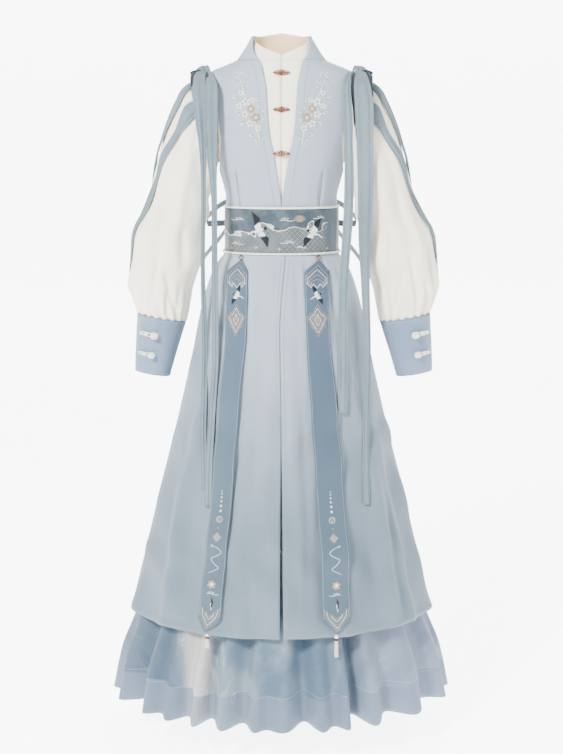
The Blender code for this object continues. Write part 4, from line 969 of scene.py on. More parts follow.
SLEEVE_CREASES = in_metres((
    # place, turn in degrees, place, turn, half width, height
    (0.7, 82, 0.975, 78, 6, -7), (0.79, 95, 0.98, 128, 6, -6.4), (0.88, 104, 0.99, 106, 4.5, -5),
    (0.84, 60, 0.985, 56, 5, -5.6), (0.64, 44, 0.96, 34, 8, -6), (0.24, 66, 0.68, 72, 11, -4.6),
    (0.2, 92, 0.7, 100, 12, 4.6), (0.56, 112, 0.8, 126, 9, -5), (0.5, 60, 0.8, 64, 10, 5),
    (0.3, 20, 0.62, 26, 11, -4), (0.74, 8, 0.97, 4, 7, -5.6), (0.4, 150, 0.6, 162, 8, -4),
    (0.8, 156, 0.975, 160, 6, -5), (0.1, 120, 0.32, 150, 8, -4), (0.72, 250, 0.97, 262, 7, -6.4),
    (0.82, 286, 0.98, 290, 6, -5.6), (0.64, 318, 0.95, 322, 9, -6), (0.8, 226, 0.98, 222, 6, -5.6),
    (0.26, 270, 0.7, 262, 12, 5), (0.24, 236, 0.62, 240, 11, -4.6), (0.3, 305, 0.64, 300, 11, -4.6),
    (0.78, 196, 0.97, 190, 6, -5),
), keep=(0, 1, 2, 3))


# %% The sleeve's surface and the cuff's
def sleeve(place, turn, out=0.0, gathers=0.0, side="l"):
    """A point of the wearer's left sleeve: turn 0 is outer or top, a quarter turn the front."""

    def surface(p, t):
        outer_x, outer_z, inner_x, inner_z, depth, y = (
            smooth(p, SLEEVE, column) for column in range(1, 7))
        c, s = np.cos(t), np.sin(t)
        point = xyz((outer_x + inner_x) / 2 + (outer_x - inner_x) / 2 * c, y - depth * s,
                    (outer_z + inner_z) / 2 + (outer_z - inner_z) / 2 * c)
        hole = SLEEVE_START
        start_point = layer(math.pi / 2 - hole["half_angle"] * s,
                            hole["middle"] + hole["half_height"] * c, BLOUSE_OUT + 0 * c)
        blend = ease(p, 0.0, 0.17)[..., None]
        return start_point * (1 - blend) + point * blend

    place = np.asarray(place, dtype=float) + 0 * np.asarray(turn, dtype=float)
    turn = np.asarray(turn, dtype=float) + 0 * place
    n = -normals(surface, np.clip(place, 0.004, 0.996), turn, 0.004, 0.01)
    ripple = GATHER_DEPTH * np.cos(turn * SLEEVE_GATHERS) * (
        ease(place, 0.82, 0.97) + 0.55 * ease(place, 0.3, 0.1) * ease(place, 0.0, 0.06))
    sag = 0.0035 * np.sin(place * 21.0 + 1.4 * np.cos(turn))
    sag = sag * ease(place, 0.15, 0.4) * ease(place, 0.97, 0.85)
    around = np.mod(turn + math.radians(SLEEVE_SHIFT[side]), TURN)
    unrolled = [(a * SLEEVE_LENGTH, math.radians(b) * SLEEVE_RADIUS, c * SLEEVE_LENGTH,
                 math.radians(d) * SLEEVE_RADIUS, width, height)
                for a, b, c, d, width, height in SLEEVE_CREASES]
    hand = creases(unrolled, place * SLEEVE_LENGTH, around * SLEEVE_RADIUS)
    slow = 0.0009 * np.sin(place * 31.0 + 3.0 * np.sin(turn * 2.0)) * ease(place, 0.12, 0.3)
    hand = (1.35 * hand + slow * ease(place, 0.99, 0.9)) * ease(place, 0.0, 0.1)
    return surface(place, turn) + n * np.asarray(out + ripple * gathers + sag + hand)[..., None]


def to_side(points, side):
    """Moves points made for the wearer's left to one side, with that side's reach."""
    points = np.array(points)
    reach = 1 + (SLEEVE_REACH[side] - 1) * ease(points[..., 2], -0.2, -0.4)
    points[..., 0] *= reach * SIDES[side]
    return points


def cuff(rise, turn, out=0.0):
    """A point of the wearer's left cuff: rise 0 is its foot, 1 its top."""
    rise, turn = np.asarray(rise, dtype=float), np.asarray(turn, dtype=float)
    outer, inner, depth = (CUFF["foot_" + part] * (1 - rise) + CUFF["top_" + part] * rise
                           for part in ("out", "in", "depth"))
    z = CUFF_BOTTOM_Z * (1 - rise) + CUFF_TOP_Z * rise
    out = out + 0.0005 * np.sin(3.0 * turn + 4.0 * rise)
    x = (outer + inner) / 2 + ((outer - inner) / 2 + out) * np.cos(turn)
    y = CUFF["y"] - (depth + out) * np.sin(turn)
    return xyz(x, y, z + CUFF_SLOPE * (x - CUFF_MIDDLE_X))


# %% Sleeves and cuffs
SLEEVE_ROWS, SLEEVE_COLUMNS = 92, 180
places = np.concatenate([np.linspace(0.0, 0.1, 14)[:-1],
                         np.linspace(0.1, 0.8, SLEEVE_ROWS - 38),
                         np.linspace(0.8, 1.0, 26)[1:]])
place, turn = np.meshgrid(places, np.arange(SLEEVE_COLUMNS) * TURN / SLEEVE_COLUMNS,
                          indexing="ij")
rise, around = np.meshgrid(np.linspace(0, 1, 24), np.arange(96) * TURN / 96, indexing="ij")
for letter in ("l", "r"):
    outer = sleeve(place, turn, 0.0, 1.0, letter)
    inner = sleeve(place, turn, -THIN_CLOTH, 1.0, letter)
    for sheet in (outer, inner):
        sheet[-1, :, 2] = CUFF_TOP_Z + SEAM + CUFF_SLOPE * (sheet[-1, :, 0] - CUFF_MIDDLE_X)
    sew("blouse_sleeve_" + letter, to_side(outer, letter), to_side(inner, letter),
        (BLOUSE, "blouse_cloth"), "blouse_cuff_" + letter, closed=True)
    outer, inner = (to_side(cuff(rise, around, out), letter) for out in (0.0, -CLOTH))
    sew("blouse_cuff_" + letter, outer, inner, (CUFF_SATIN, "cuff_cloth"),
        "blouse_sleeve_" + letter, closed=True)

# %% [markdown]
# ## The skirt
# The skirt's cloth is gathered at the waist and falls in deep round folds that open toward
# the hem. One table gives the front's ridges and valleys as they lie, unevenly spaced, and
# the back has a like number at a steadier pace. Smaller ripples ride on the folds near the
# hem, where the cloth is free.

# %% Skirt
SKIRT_FRONT_FOLDS = in_metres((
    # ridge angle, valley angle, valley depth
    (-88, -80, 16), (-71, -61, 46), (-52, -46, 22), (-40.5, -34.5, 34), (-29.5, -25.5, 40),
    (-19.5, -13, 36), (-8.5, -4.5, 14), (0.5, 8, 44), (13.5, 18, 18), (22, 26.8, 56),
    (31.5, 41, 40), (51.5, 64, 40), (75.5, 82, 16),
), keep=(0, 1))
SKIRT_RIPPLE = 3.2 * MM
SKIRT_BACK_FOLDS = 13
SKIRT_BACK_DEPTHS = (0.03, 0.04, 0.026, 0.044, 0.034)
SKIRT_FOLD_GROWTH = in_metres((
    # z, share of the depth
    (-1286, 1), (-1200, 0.86), (-1106, 0.62), (-900, 0.38), (-600, 0.16), (-400, 0),
), keep=(1,))


def skirt_folds():
    """Ridge and valley angles all the way round, with the depth of each."""
    marks = []
    for ridge, valley, depth in SKIRT_FRONT_FOLDS:
        marks += [(ridge, 0.0), (valley, depth)]
    step = 180.0 / SKIRT_BACK_FOLDS
    for i in range(SKIRT_BACK_FOLDS):
        sway = 2.2 * math.sin(2.4 * i)
        marks.append((92.0 + step * i + sway * (i > 0), 0.0))
        marks.append((92.0 + step * (i + 0.5) + sway * 0.5,
                      SKIRT_BACK_DEPTHS[i % len(SKIRT_BACK_DEPTHS)]))
    return marks


# %% The skirt's surface
SKIRT_MARKS = skirt_folds()


def skirt_inset(angle):
    """How far the hem of the skirt is drawn in at an angle."""
    degrees = np.degrees(np.asarray(angle, dtype=float))
    degrees = np.mod(degrees + 88.0, 360.0) - 88.0
    where = np.array([m[0] for m in SKIRT_MARKS] + [SKIRT_MARKS[0][0] + 360.0])
    deep = np.array([m[1] for m in SKIRT_MARKS] + [SKIRT_MARKS[0][1]])
    k = np.clip(np.searchsorted(where, degrees, side="right") - 1, 0, len(where) - 2)
    t = np.clip((degrees - where[k]) / (where[k + 1] - where[k]), 0, 1)
    t = 0.5 - 0.5 * np.cos(math.pi * t)
    return deep[k] * (1 - t) + deep[k + 1] * t


def skirt(angle, z):
    """A point of the skirt's outer face; its folds only go inward from the vest."""
    angle = np.asarray(angle, dtype=float)
    z = np.asarray(z, dtype=float) + 0 * angle
    inset = skirt_inset(angle) * smooth(z, SKIRT_FOLD_GROWTH, 1)
    clear = SKIRT_OUT - 0.0066 * ease(z, -0.35, -0.395) + 0.0035 * ease(z, -1.12, -1.2)
    ripple = 0.5 + 0.5 * np.sin(angle * 37.0 + 2.2 * np.sin(angle * 5.0) + z * 9.0)
    inset = inset + SKIRT_RIPPLE * ripple * ease(z, -0.6, -1.2)
    point = layer(angle, z, clear - inset)
    point[..., 2] = z + inset * 0.16 * ease(z, -1.1, SKIRT_HEM)
    return point


def skirt_panel(node, first, last):
    """One half of the skirt between two angles in degrees."""
    angles = np.radians(np.linspace(first, last, 200))
    rows = np.concatenate([np.linspace(SKIRT_HEM, -1.05, 34)[:-1],
                           np.linspace(-1.05, SKIRT_TOP - WAISTBAND_HEIGHT - SEAM, 44)])
    z, angle = np.meshgrid(rows, angles, indexing="ij")
    outer = skirt(angle, z)
    thickness = THIN_CLOTH + (CLOTH - THIN_CLOTH) * ease(z, -0.33, -0.4)
    inner = outer - normals(skirt, angle, z) * thickness[..., None]
    inner[0, :, 2], inner[-1, :, 2] = outer[0, :, 2], outer[-1, :, 2]
    sew(node, outer, inner, (SKIRT, "skirt_cloth"), "skirt_waistband")


skirt_panel("skirt_front", -90.0, 90.0)
skirt_panel("skirt_back", 90.0, 270.0)
ring = np.linspace(-math.pi, math.pi, 193)[:-1]
z, angle = np.meshgrid(np.linspace(SKIRT_TOP - WAISTBAND_HEIGHT, SKIRT_TOP, 6), ring,
                       indexing="ij")
sew("skirt_waistband", layer(angle, z, SKIRT_OUT), layer(angle, z, SKIRT_OUT - 1.2 * MM),
    (SKIRT, "skirt_cloth"), "blouse_back", closed=True)

# %% [markdown]
# ## Round things along a path
# Cords, rings, scrolls and worked threads are all a section carried along a path. One helper
# makes the points and faces of such a strand, so that many strands can be joined in one
# mesh. The section may be flat, it may swell and thin along the way, and it may have lobes
# that turn, which reads as a twisted cord.

# %% Strands
def strand(path, radius, sides=8, closed=False, lobes=0, twist=0.0, depth=0.0, flat=1.0,
           up=None):
    """Points, faces and flat map of one strand; radius is one number or one for each point."""
    path = np.asarray(path, dtype=float)
    count = len(path)
    radius = np.full(count, radius) if np.isscalar(radius) else np.asarray(radius)
    if closed:
        ahead = np.roll(path, -1, axis=0) - np.roll(path, 1, axis=0)
    else:
        ahead = np.gradient(path, axis=0)
    ahead = unit(ahead)
    if up is None:
        guide = np.array([0.0, 0.0, 1.0]) if abs(ahead[0, 2]) < 0.9 else np.array([1.0, 0, 0])
        ups = []
        for direction in ahead:
            guide = unit(guide - direction * np.dot(guide, direction))
            ups.append(guide)
        ups = np.array(ups)
    else:
        ups = unit(up - ahead * np.sum(up * ahead, axis=1, keepdims=True))
    beside = np.cross(ahead, ups)
    turn = np.arange(sides) * TURN / sides
    steps = np.linalg.norm(np.diff(path, axis=0), axis=1)
    along = np.concatenate([[0.0], steps.cumsum()])
    phase = twist * np.linspace(0, 1, count + 1)[:-1] if closed else twist * along
    size = radius[:, None] * (1 + depth * np.cos(lobes * (turn[None, :] + phase[:, None])))
    rings = (path[:, None, :] + beside[:, None, :] * (size * np.cos(turn))[..., None]
             + ups[:, None, :] * (size * np.sin(turn) * flat)[..., None])
    points = list(rings.reshape(-1, 3))
    faces, uvs = [], []
    for i in range(count if closed else count - 1):
        k = (i + 1) % count
        far = along[i] + (steps[-1] if k == 0 else steps[i])
        for j in range(sides):
            m = (j + 1) % sides
            faces.append((i * sides + j, i * sides + m, k * sides + m, k * sides + j))
            low, high = j * TURN / sides * radius[i], (j + 1) * TURN / sides * radius[i]
            uvs.extend([(along[i], low), (along[i], high), (far, high), (far, low)])
    if not closed:
        for ring_start, tip, order in ((0, path[0], 1), ((count - 1) * sides, path[-1], -1)):
            hub = len(points)
            points.append(tip)
            for j in range(sides):
                edge = (ring_start + (j + 1) % sides, ring_start + j)[::order]
                faces.append((edge[0], edge[1], hub))
                uvs.extend([(0.0, 0.0)] * 3)
    return np.array(points), faces, uvs


# %% Joined strands, beads and curves
def join(name, parts, material):
    """One mesh object from several strands or patches, with all faces looking out."""
    points, faces, uvs, shift = [], [], [], 0
    for part_points, part_faces, part_uvs in parts:
        turned_in = signed_volume(part_points, part_faces) < 0
        place_in = 0
        for face in part_faces:
            here = part_uvs[place_in:place_in + len(face)]
            place_in += len(face)
            face = tuple(v + shift for v in face)
            faces.append(face[::-1] if turned_in else face)
            uvs.extend(here[::-1] if turned_in else here)
        points.append(part_points)
        shift += len(part_points)
    return build(name, np.concatenate(points), faces, uvs, material)


def ball(centre, radius, squash=(1.0, 1.0, 1.0), sides=16):
    """A round bead with closed poles."""
    rise = np.linspace(-1, 1, sides // 2 + 1)[1:-1]
    path = np.array(centre) + np.outer(np.sin(rise * math.pi / 2), [0, 0, radius])
    points, faces, uvs = strand(path, np.cos(rise * math.pi / 2) * radius, sides)
    points[-2] = np.array(centre) - [0, 0, radius]
    points[-1] = np.array(centre) + [0, 0, radius]
    points = np.array(centre) + (points - np.array(centre)) * np.array(squash)
    return points, faces, uvs


def curve(points, count):
    """A smooth run of points through a few given ones."""
    points = np.asarray(points, dtype=float)
    steps = np.linalg.norm(np.diff(points, axis=0), axis=1)
    at = np.concatenate([[0.0], steps.cumsum()]) / steps.sum()
    where = np.linspace(0, 1, count)
    columns = [smooth(where, list(zip(at, column)), 1) for column in points.T]
    return np.stack(columns, axis=-1)


def box_of(node):
    """The middle of a node's box, and half its size."""
    low, high = (np.array(corner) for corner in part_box(node))
    return (low + high) / 2, (high - low) / 2


def seat(points, node):
    """Moves points so that their box has the same middle as a node's box."""
    corners = points.reshape(-1, 3)
    return points + box_of(node)[0] - (corners.min(axis=0) + corners.max(axis=0)) / 2


# %% [markdown]
# ## Belt, piping and bow
# A stiffened brocade band goes once round the waist over the vest, edged above and below
# with a twisted white cord. Its free end laps over in front, toward the wearer's left, and
# shows as a plain raised strip. Long ties are sewn to it and knotted in a bow at the back.

# %% Belt and piping
BELT_CREASES = in_metres((
    # from x, from z, to x, to z, half width, height
    (-106, -294, -98, -370, 3, -0.7), (-76, -330, -70, -372, 4, 0.6), (56, -292, 60, -340, 4, 0.6),
    (99, -290, 100, -374, 2.6, -0.9), (106, -292, 105, -374, 2.4, 0.8),
))
BELT_END_X = 0.0905


def belt(angle, z, out):
    """A point of the belt, out from the worn form; the lapped end stands a little proud."""
    x = form(angle, z)[..., 0]
    front = np.cos(angle) > 0.0
    lap = 0.0009 * ease(x, BELT_END_X, BELT_END_X + 0.0012) * ease(np.cos(angle), -0.3, 0.0)
    hand = creases(BELT_CREASES, x, z) * front
    swell = 0.0005 * np.sin((z - BELT_BOTTOM) / (BELT_TOP - BELT_BOTTOM) * math.pi)
    return layer(angle, z, out + (lap + np.maximum(hand, -0.0004) + swell) * (out > BELT_IN))


ring = np.linspace(-math.pi, math.pi, 241)[:-1]
z, angle = np.meshgrid(np.linspace(BELT_BOTTOM, BELT_TOP, 26), ring, indexing="ij")
sew("belt", belt(angle, z, BELT_OUT + 0 * z), belt(angle, z, BELT_IN + 0 * z),
    (BELT, "belt_cloth"), "vest_back", closed=True)

PIPING_TURNS = 72
UPWARD = np.array([0.0, 0.0, 1.0])
ring = np.linspace(0, TURN, 433)[:-1]
for node, height in (("belt_piping_top", BELT_TOP + PIPING_RADIUS + 0.5 * MM),
                     ("belt_piping_bottom", BELT_BOTTOM - PIPING_RADIUS - 0.5 * MM)):
    centres = layer(ring, 0 * ring + height, PIPING_RADIUS + 0.9 * MM)
    cord = strand(centres, PIPING_RADIUS, 9, closed=True, lobes=3, depth=0.13,
                  twist=PIPING_TURNS * TURN / 3, up=UPWARD)
    wear(join(node + "_cord", [cord], CORD), node)
print("belt and piping made")

# %% The bow at the back
BOW_KNOT_Y = 0.101
BOW_LOOP = in_metres((
    # x, out from the body, z, width
    (24, 5, -325, 12), (55, 4, -300, 18), (90, -4, -278, 20), (120, -14, -284, 20),
    (145, -20, -302, 20), (157, -22, -318, 20), (154, -15, -327, 20), (130, -2, -327, 20),
    (95, 10, -324, 19), (60, 15, -328, 17), (24, 13, -335, 12),
))
BOW_TAIL = in_metres((
    (19, 4, -345.5, 12), (50, -2, -339, 18), (85, -12, -328, 20), (110, -20, -332, 20),
    (135, -24, -360, 21), (166, -22, -398, 21), (178, -20, -418, 14),
))
TIE_ACROSS = np.array([0.0, 0.85, 0.53])


def tie(table, sign, pleats):
    """Grid of a pleated tie along a path: the pleats are deep where it is drawn in."""
    rows = np.array(table)
    path = curve(rows[:, :3], 60)
    steps = np.linalg.norm(np.diff(rows[:, :3], axis=0), axis=1)
    at = np.concatenate([[0.0], steps.cumsum()]) / steps.sum()
    width = smooth(np.linspace(0, 1, 60), list(zip(at, rows[:, 3])), 1)
    across = TIE_ACROSS / np.linalg.norm(TIE_ACROSS)
    share = np.linspace(-0.5, 0.5, 25)
    grid = path[:, None, :] + across * (width[:, None] * share)[..., None]
    depth = 0.001 * (1.2 - width / width.max())
    wave = np.cos(share[None, :] * TURN * pleats + 3.0 * np.linspace(0, 1, 60)[:, None])
    grid = grid + grid_normals(grid) * (depth[:, None] * wave)[..., None]
    grid[..., 0] *= sign
    grid[..., 1] += BOW_KNOT_Y
    return grid


for letter, sign in SIDES.items():
    for part, table in (("bow_loop_", BOW_LOOP), ("bow_tail_", BOW_TAIL)):
        grid = seat(tie(table, sign, 2), part + letter)
        sew_thin(part + letter, grid, THIN_CLOTH, (TIE, "belt_cloth"), "bow_knot")
rows = np.linspace(-1.0, 1.0, 30)[1:-1]
path = xyz(0.02 * rows, 0.0, 0.0015 * np.sin(2.0 * rows))
knot = strand(path, 0.012 * (1 - rows ** 6) ** 0.5, 42, lobes=7, depth=0.07, twist=18.0,
              up=UPWARD)
knot = (seat(knot[0], "bow_knot"), knot[1], knot[2])
wear(join("bow_knot_cloth", [knot], TIE), "bow_knot")
print("bow made")

# %% [markdown]
# ## The two streamers
# A long stiff band hangs down each front from a bronze ring under the belt. Each band is
# pointed at both ends and lies flat over the vest's folds, at the height of the highest one.
# From its lower point hangs a bead with a short tassel.

# %% Streamers
STREAMER = {
    # z, middle x, width
    "l": in_metres((
        (-390.5, 72.2, 6), (-415, 68, 48), (-523, 69.7, 45), (-600, 75.5, 49), (-696, 81, 50),
        (-802, 88.6, 52), (-900, 95, 53), (-1030, 102, 53), (-1070, 102.5, 53), (-1098, 104.5, 8),
    )),
    "r": in_metres((
        (-390.5, -78, 6), (-415, -84.2, 41), (-523, -87, 42), (-600, -92.5, 39), (-696, -100.2, 39),
        (-802, -107.8, 39), (-900, -117, 39), (-1030, -130.8, 42), (-1070, -135, 43),
        (-1098, -143, 7),
    )),
}
STREAMER_IN, STREAMER_THICK = 1.5 * MM, 1.2 * MM
EYE_RADIUS = 4.3 * MM


def on_streamer(letter, across, z, out=0.0):
    """A point on a streamer's face: across runs from -1 to 1 between its edges."""
    middle, half = smooth(z, STREAMER[letter], 1), smooth(z, STREAMER[letter], 2) / 2
    reliefs = [vest_relief(angle_at(middle + half * k, z), z) for k in np.linspace(-1, 1, 7)]
    crown = 0.0006 * (1.0 - across ** 2)
    x = middle + half * across
    return layer(angle_at(x, z), z + 0 * x, np.max(reliefs, axis=0) + STREAMER_IN
                 + STREAMER_THICK + crown + out)


for letter in ("l", "r"):
    table = STREAMER[letter]
    heights = np.concatenate([np.linspace(table[-1][0], -1.068, 22)[:-1],
                              np.linspace(-1.068, -0.417, 120),
                              np.linspace(-0.417, table[0][0], 20)[1:]])
    z, across = np.meshgrid(heights, np.linspace(-1, 1, 17), indexing="ij")
    outer = on_streamer(letter, across, z)
    inner = on_streamer(letter, across, z, -STREAMER_THICK)
    sew("streamer_" + letter, outer, inner, (STREAMER_SATIN, "streamer_cloth"),
        "vest_front_" + letter)

    node = "streamer_hook_" + letter
    turn = np.arange(36) * TURN / 36
    middle, _ = box_of(node)
    slope = unit(on_vest(middle[0], middle[2] + 0.003, 0.0)
                 - on_vest(middle[0], middle[2] - 0.003, 0.0))
    ring_path = (np.outer(np.cos(turn), [1, 0, 0]) + np.outer(np.sin(turn), slope)) * EYE_RADIUS
    eye = strand(seat(ring_path, node), 0.9 * MM, 10, closed=True)
    link_turn = np.linspace(0.0, TURN, 25)[:-1]
    link = middle + slope * 5.2 * MM + MM * xyz(
        0.9 * np.cos(link_turn), 1.9 * np.cos(link_turn) - 0.6, 2.2 * np.sin(link_turn))
    small = strand(link, 0.45 * MM, 8, closed=True)
    drop = ball(middle - slope * 6.2 * MM + [0, -0.8 * MM, 0], 1.3 * MM, sides=14)
    wear(join(node + "_ring", [eye, small, drop], BRONZE), node)


# %% Pendants
PENDANT_STRANDS = 46
GOLDEN_ANGLE = 2.39996


def pendant(letter):
    """A white bead, a small bronze cap and a short silk tassel."""
    node = "pendant_" + letter
    (x, y, middle_z), (_, _, half_height) = box_of(node)
    top, foot_z = middle_z + half_height, middle_z - half_height
    beads = [ball((x, y, top - 5.2 * MM), 4.1 * MM, (1, 1, 0.92), 20),
             ball((x, y, top - 1.0 * MM), 1.3 * MM, sides=12)]
    cap_rows = np.array([(9.2, 1.4), (10.0, 2.6), (11.2, 3.6), (12.6, 3.8), (13.2, 3.2)]) * MM
    cap = strand(xyz(x, y, top - cap_rows[:, 0]), cap_rows[:, 1], 20, lobes=10, depth=0.05)
    silks = []
    for i in range(PENDANT_STRANDS):
        turn = GOLDEN_ANGLE * i
        reach = math.sqrt((i + 0.5) / PENDANT_STRANDS)
        root = 2.9 * MM * reach
        foot = root * (1.25 + 0.12 * math.sin(5.0 * i))
        end = foot_z + 1.6 * MM * (0.5 + 0.5 * math.sin(3.7 * i))
        heights = np.linspace(top - 12.6 * MM, end, 6)
        spread = root + (foot - root) * np.linspace(0, 1, 6) ** 1.5
        bend = turn + 0.25 * np.linspace(0, 1, 6) * math.sin(1.3 * i)
        silk = xyz(x + spread * np.cos(bend), y + spread * np.sin(bend), heights)
        silks.append(strand(silk, np.linspace(0.36, 0.26, 6) * MM, 4))
    wear(join(node + "_bead", beads, CORD), node)
    wear(join(node + "_cap", [cap], BRONZE), node)
    wear(join(node + "_tassel", silks, TASSEL), node)


pendant("l")
pendant("r")
print("streamers and pendants made")

# %% [markdown]
# ## Ribbons
# From a pleated knot on each shoulder four ribbons leave: two lie round the sleeve, held by a
# stitch here and there, and two hang free down the front. Each is folded lengthwise, so it
# has a soft ridge and a turned edge, and it narrows and widens as it turns.

# %% Ribbons
RIBBON_OUTER = in_metres((
    # place along the sleeve, turn in degrees, width, distance out
    (0.115, 26, 16, 2.5), (0.19, 22, 26, 3.5), (0.28, 12, 24, 4), (0.38, -4, 20, 4),
    (0.47, -24, 18, 3.5), (0.56, -48, 18, 3), (0.66, -74, 20, 3), (0.76, -98, 22, 3),
), keep=(0, 1))
RIBBON_INNER = in_metres((
    # place along the sleeve, turn in degrees, width, distance out
    (0.105, 66, 18, 4.3), (0.17, 60, 24, 3.8), (0.27, 52, 14, 2.9), (0.36, 40, 18, 2.9),
    (0.45, 26, 22, 2.9), (0.56, 12, 28, 2.9), (0.67, 0, 34, 2.9), (0.78, -16, 34, 2.9),
    (0.88, -38, 30, 2.9),
), keep=(0, 1))
HANG_OUTER = {
    # height, middle x, y before it meets the vest, width
    "l": in_metres((
        (-21.5, 154, -13, 13), (-24, 155, -19, 19), (-27.5, 156, -25.5, 24), (-36, 156, -47, 27),
        (-53, 157, -70, 30), (-90, 161, -83, 32), (-200, 162, -85, 31), (-330, 163, -86, 26),
        (-440, 166, -88, 17), (-560, 168, -96, 14), (-700, 167.5, -118, 13), (-860, 166, -150, 13),
    )),
    "r": in_metres((
        (-21.5, -155, -13, 13), (-24, -157, -19, 19), (-27.5, -158, -25.5, 24),
        (-36, -159, -47, 26), (-53, -159, -70, 26), (-90, -156, -83, 21), (-170, -153, -85, 14),
        (-240, -153, -85, 9), (-330, -153, -86, 8), (-440, -153, -88, 9), (-560, -152, -100, 11),
        (-700, -152, -122, 12), (-830, -149, -150, 14),
    )),
}
HANG_INNER = {
    "l": in_metres((
        (-22.5, 140, -15, 9), (-25, 136, -23, 10), (-29, 133, -33, 11), (-38, 130, -58, 11),
        (-56, 127, -79, 12), (-110, 129, -95, 14), (-200, 130, -98, 18), (-300, 129, -102, 19),
        (-400, 124, -110, 18), (-500, 120, -120, 18), (-600, 119, -130, 18), (-680, 118, -140, 18),
    )),
    "r": in_metres((
        (-22.5, -143, -15, 9), (-25, -140, -23, 12), (-29, -138, -33, 14), (-38, -136.5, -58, 16),
        (-56, -134, -79, 20), (-120, -134.5, -95, 22), (-190, -134.5, -98, 20),
        (-235, -133, -100, 13), (-300, -131, -102, 11), (-420, -129, -112, 12),
        (-560, -130, -125, 13), (-700, -136, -140, 14), (-860, -144, -150, 15),
    )),
}
RIBBON_COLUMNS = 15
RIBBON_CLOTH = THIN_CLOTH * 0.7
RIBBON_RIDGE, RIBBON_SPREAD, RIBBON_SWAY = 2.5 * MM, 4.5 * MM, 1.2 * MM
RIBBON_LOOKS = (RIBBON, "ribbon_cloth")


# %% Ribbon surfaces
def ribbon_fold(share):
    """How far a ribbon's cloth stands out across its width: a ridge and a turned edge."""
    ridge = np.exp(-((share - 0.12) / 0.15) ** 2)
    turned = 0.7 * np.exp(-((share + 0.38) / 0.09) ** 2)
    hollow = 0.8 * np.exp(-((share - 0.33) / 0.06) ** 2)
    return RIBBON_RIDGE * (ridge + turned - hollow)


def front_line(x, z, out):
    """The y of the vest's front at x, moved out; far back where x is beyond its side."""
    width = smooth(z, FORM, 1)
    inside = np.clip(np.abs(x) / width, 0, 0.985)
    y = on_vest(np.sign(x) * inside * width, z, out)[..., 1]
    return np.where(np.abs(x) < width * 0.985, y, 1.0)


def hanging_ribbon(node, table, out):
    """A ribbon from the shoulder down the front, laid clear of the vest."""
    share = np.linspace(0.0, 1.0, 110) ** 1.5
    heights = table[0][0] * (1 - share) + table[-1][0] * share
    x, y, width = (smooth(heights, table, column)[:, None] for column in (1, 2, 3))
    spread_out = ease(heights, -0.165, -0.125) * ease(heights, -0.03, -0.048)
    width = width + RIBBON_SPREAD * spread_out[:, None]
    across = np.linspace(-0.5, 0.5, RIBBON_COLUMNS)[None, :]
    sway = RIBBON_SWAY * np.sin(heights * 19.0)[:, None]
    grid_x = x + width * across + sway
    z = np.repeat(heights[:, None], RIBBON_COLUMNS, axis=1)
    clear = np.minimum(y + 0 * grid_x, front_line(grid_x, z, out))
    clear = np.minimum(clear, clear.min(axis=1, keepdims=True) * 0.5 + clear * 0.5)
    clear = clear - ribbon_fold(across * SIDES[node[-1]])
    grid = xyz(grid_x, clear, z)
    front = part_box(node)[0][1] + 0.0008
    grid[..., 1] += min(front - grid[..., 1].min(), 0.0)
    sew_thin(node, grid, RIBBON_CLOTH, RIBBON_LOOKS, "shoulder_gather_" + node[-1])


def from_knot(letter, first_row):
    """Rows of a ribbon from the edge of its shoulder knot to its first row on the sleeve."""
    middle, half = box_of("shoulder_gather_" + letter)
    sign = SIDES[letter]
    begin = middle + half * [sign * 0.62, -0.3, -0.25]
    centre = first_row.mean(axis=0)
    rise = np.linspace(0.0, 1.0, 12)[:-1, None, None]
    spread = (first_row - centre) * (0.45 + 0.55 * rise)
    arch = np.sin(math.pi * rise) * 0.0045 * np.array([sign * 0.6, -0.4, 0.8])
    return begin * (1 - rise) + centre * rise + spread + arch


for letter in ("l", "r"):
    for part, table in (("ribbon_outer_", RIBBON_OUTER), ("ribbon_inner_", RIBBON_INNER)):
        places = np.linspace(table[0][0], table[-1][0], 90)[:, None]
        turn, width, out = (smooth(places, table, column) for column in (1, 2, 3))
        share = np.linspace(-0.5, 0.5, RIBBON_COLUMNS)[None, :]
        spread = np.radians(turn) + width / SLEEVE_RADIUS * share
        grid = sleeve(places + 0 * share, spread, out + ribbon_fold(share), 0.0, letter)
        grid = to_side(grid, letter)
        grid = np.concatenate([from_knot(letter, grid[0]), grid])
        sew_thin(part + letter, grid, RIBBON_CLOTH, RIBBON_LOOKS,
                 "blouse_sleeve_" + letter)
    hanging_ribbon("ribbon_hang_outer_" + letter, HANG_OUTER[letter], 4.6 * MM)
    hanging_ribbon("ribbon_hang_inner_" + letter, HANG_INNER[letter], 4.4 * MM)

# %% [markdown]
# ## Shoulder knots
# The ribbons are drawn together on the point of the shoulder in a small fan of pleats. Each
# pleat is a narrow roll of cloth that comes over the shoulder and opens toward the front,
# with a deep hollow beside it, shown as painted shadow: a near-black ball under the pleats and
# near-black strands in the gaps beside the ribbons. A twist of the same cloth holds them, and
# a few pearl beads are sewn over the place where they meet.

# %% Shoulder knots
KNOT_PLEATS = 9


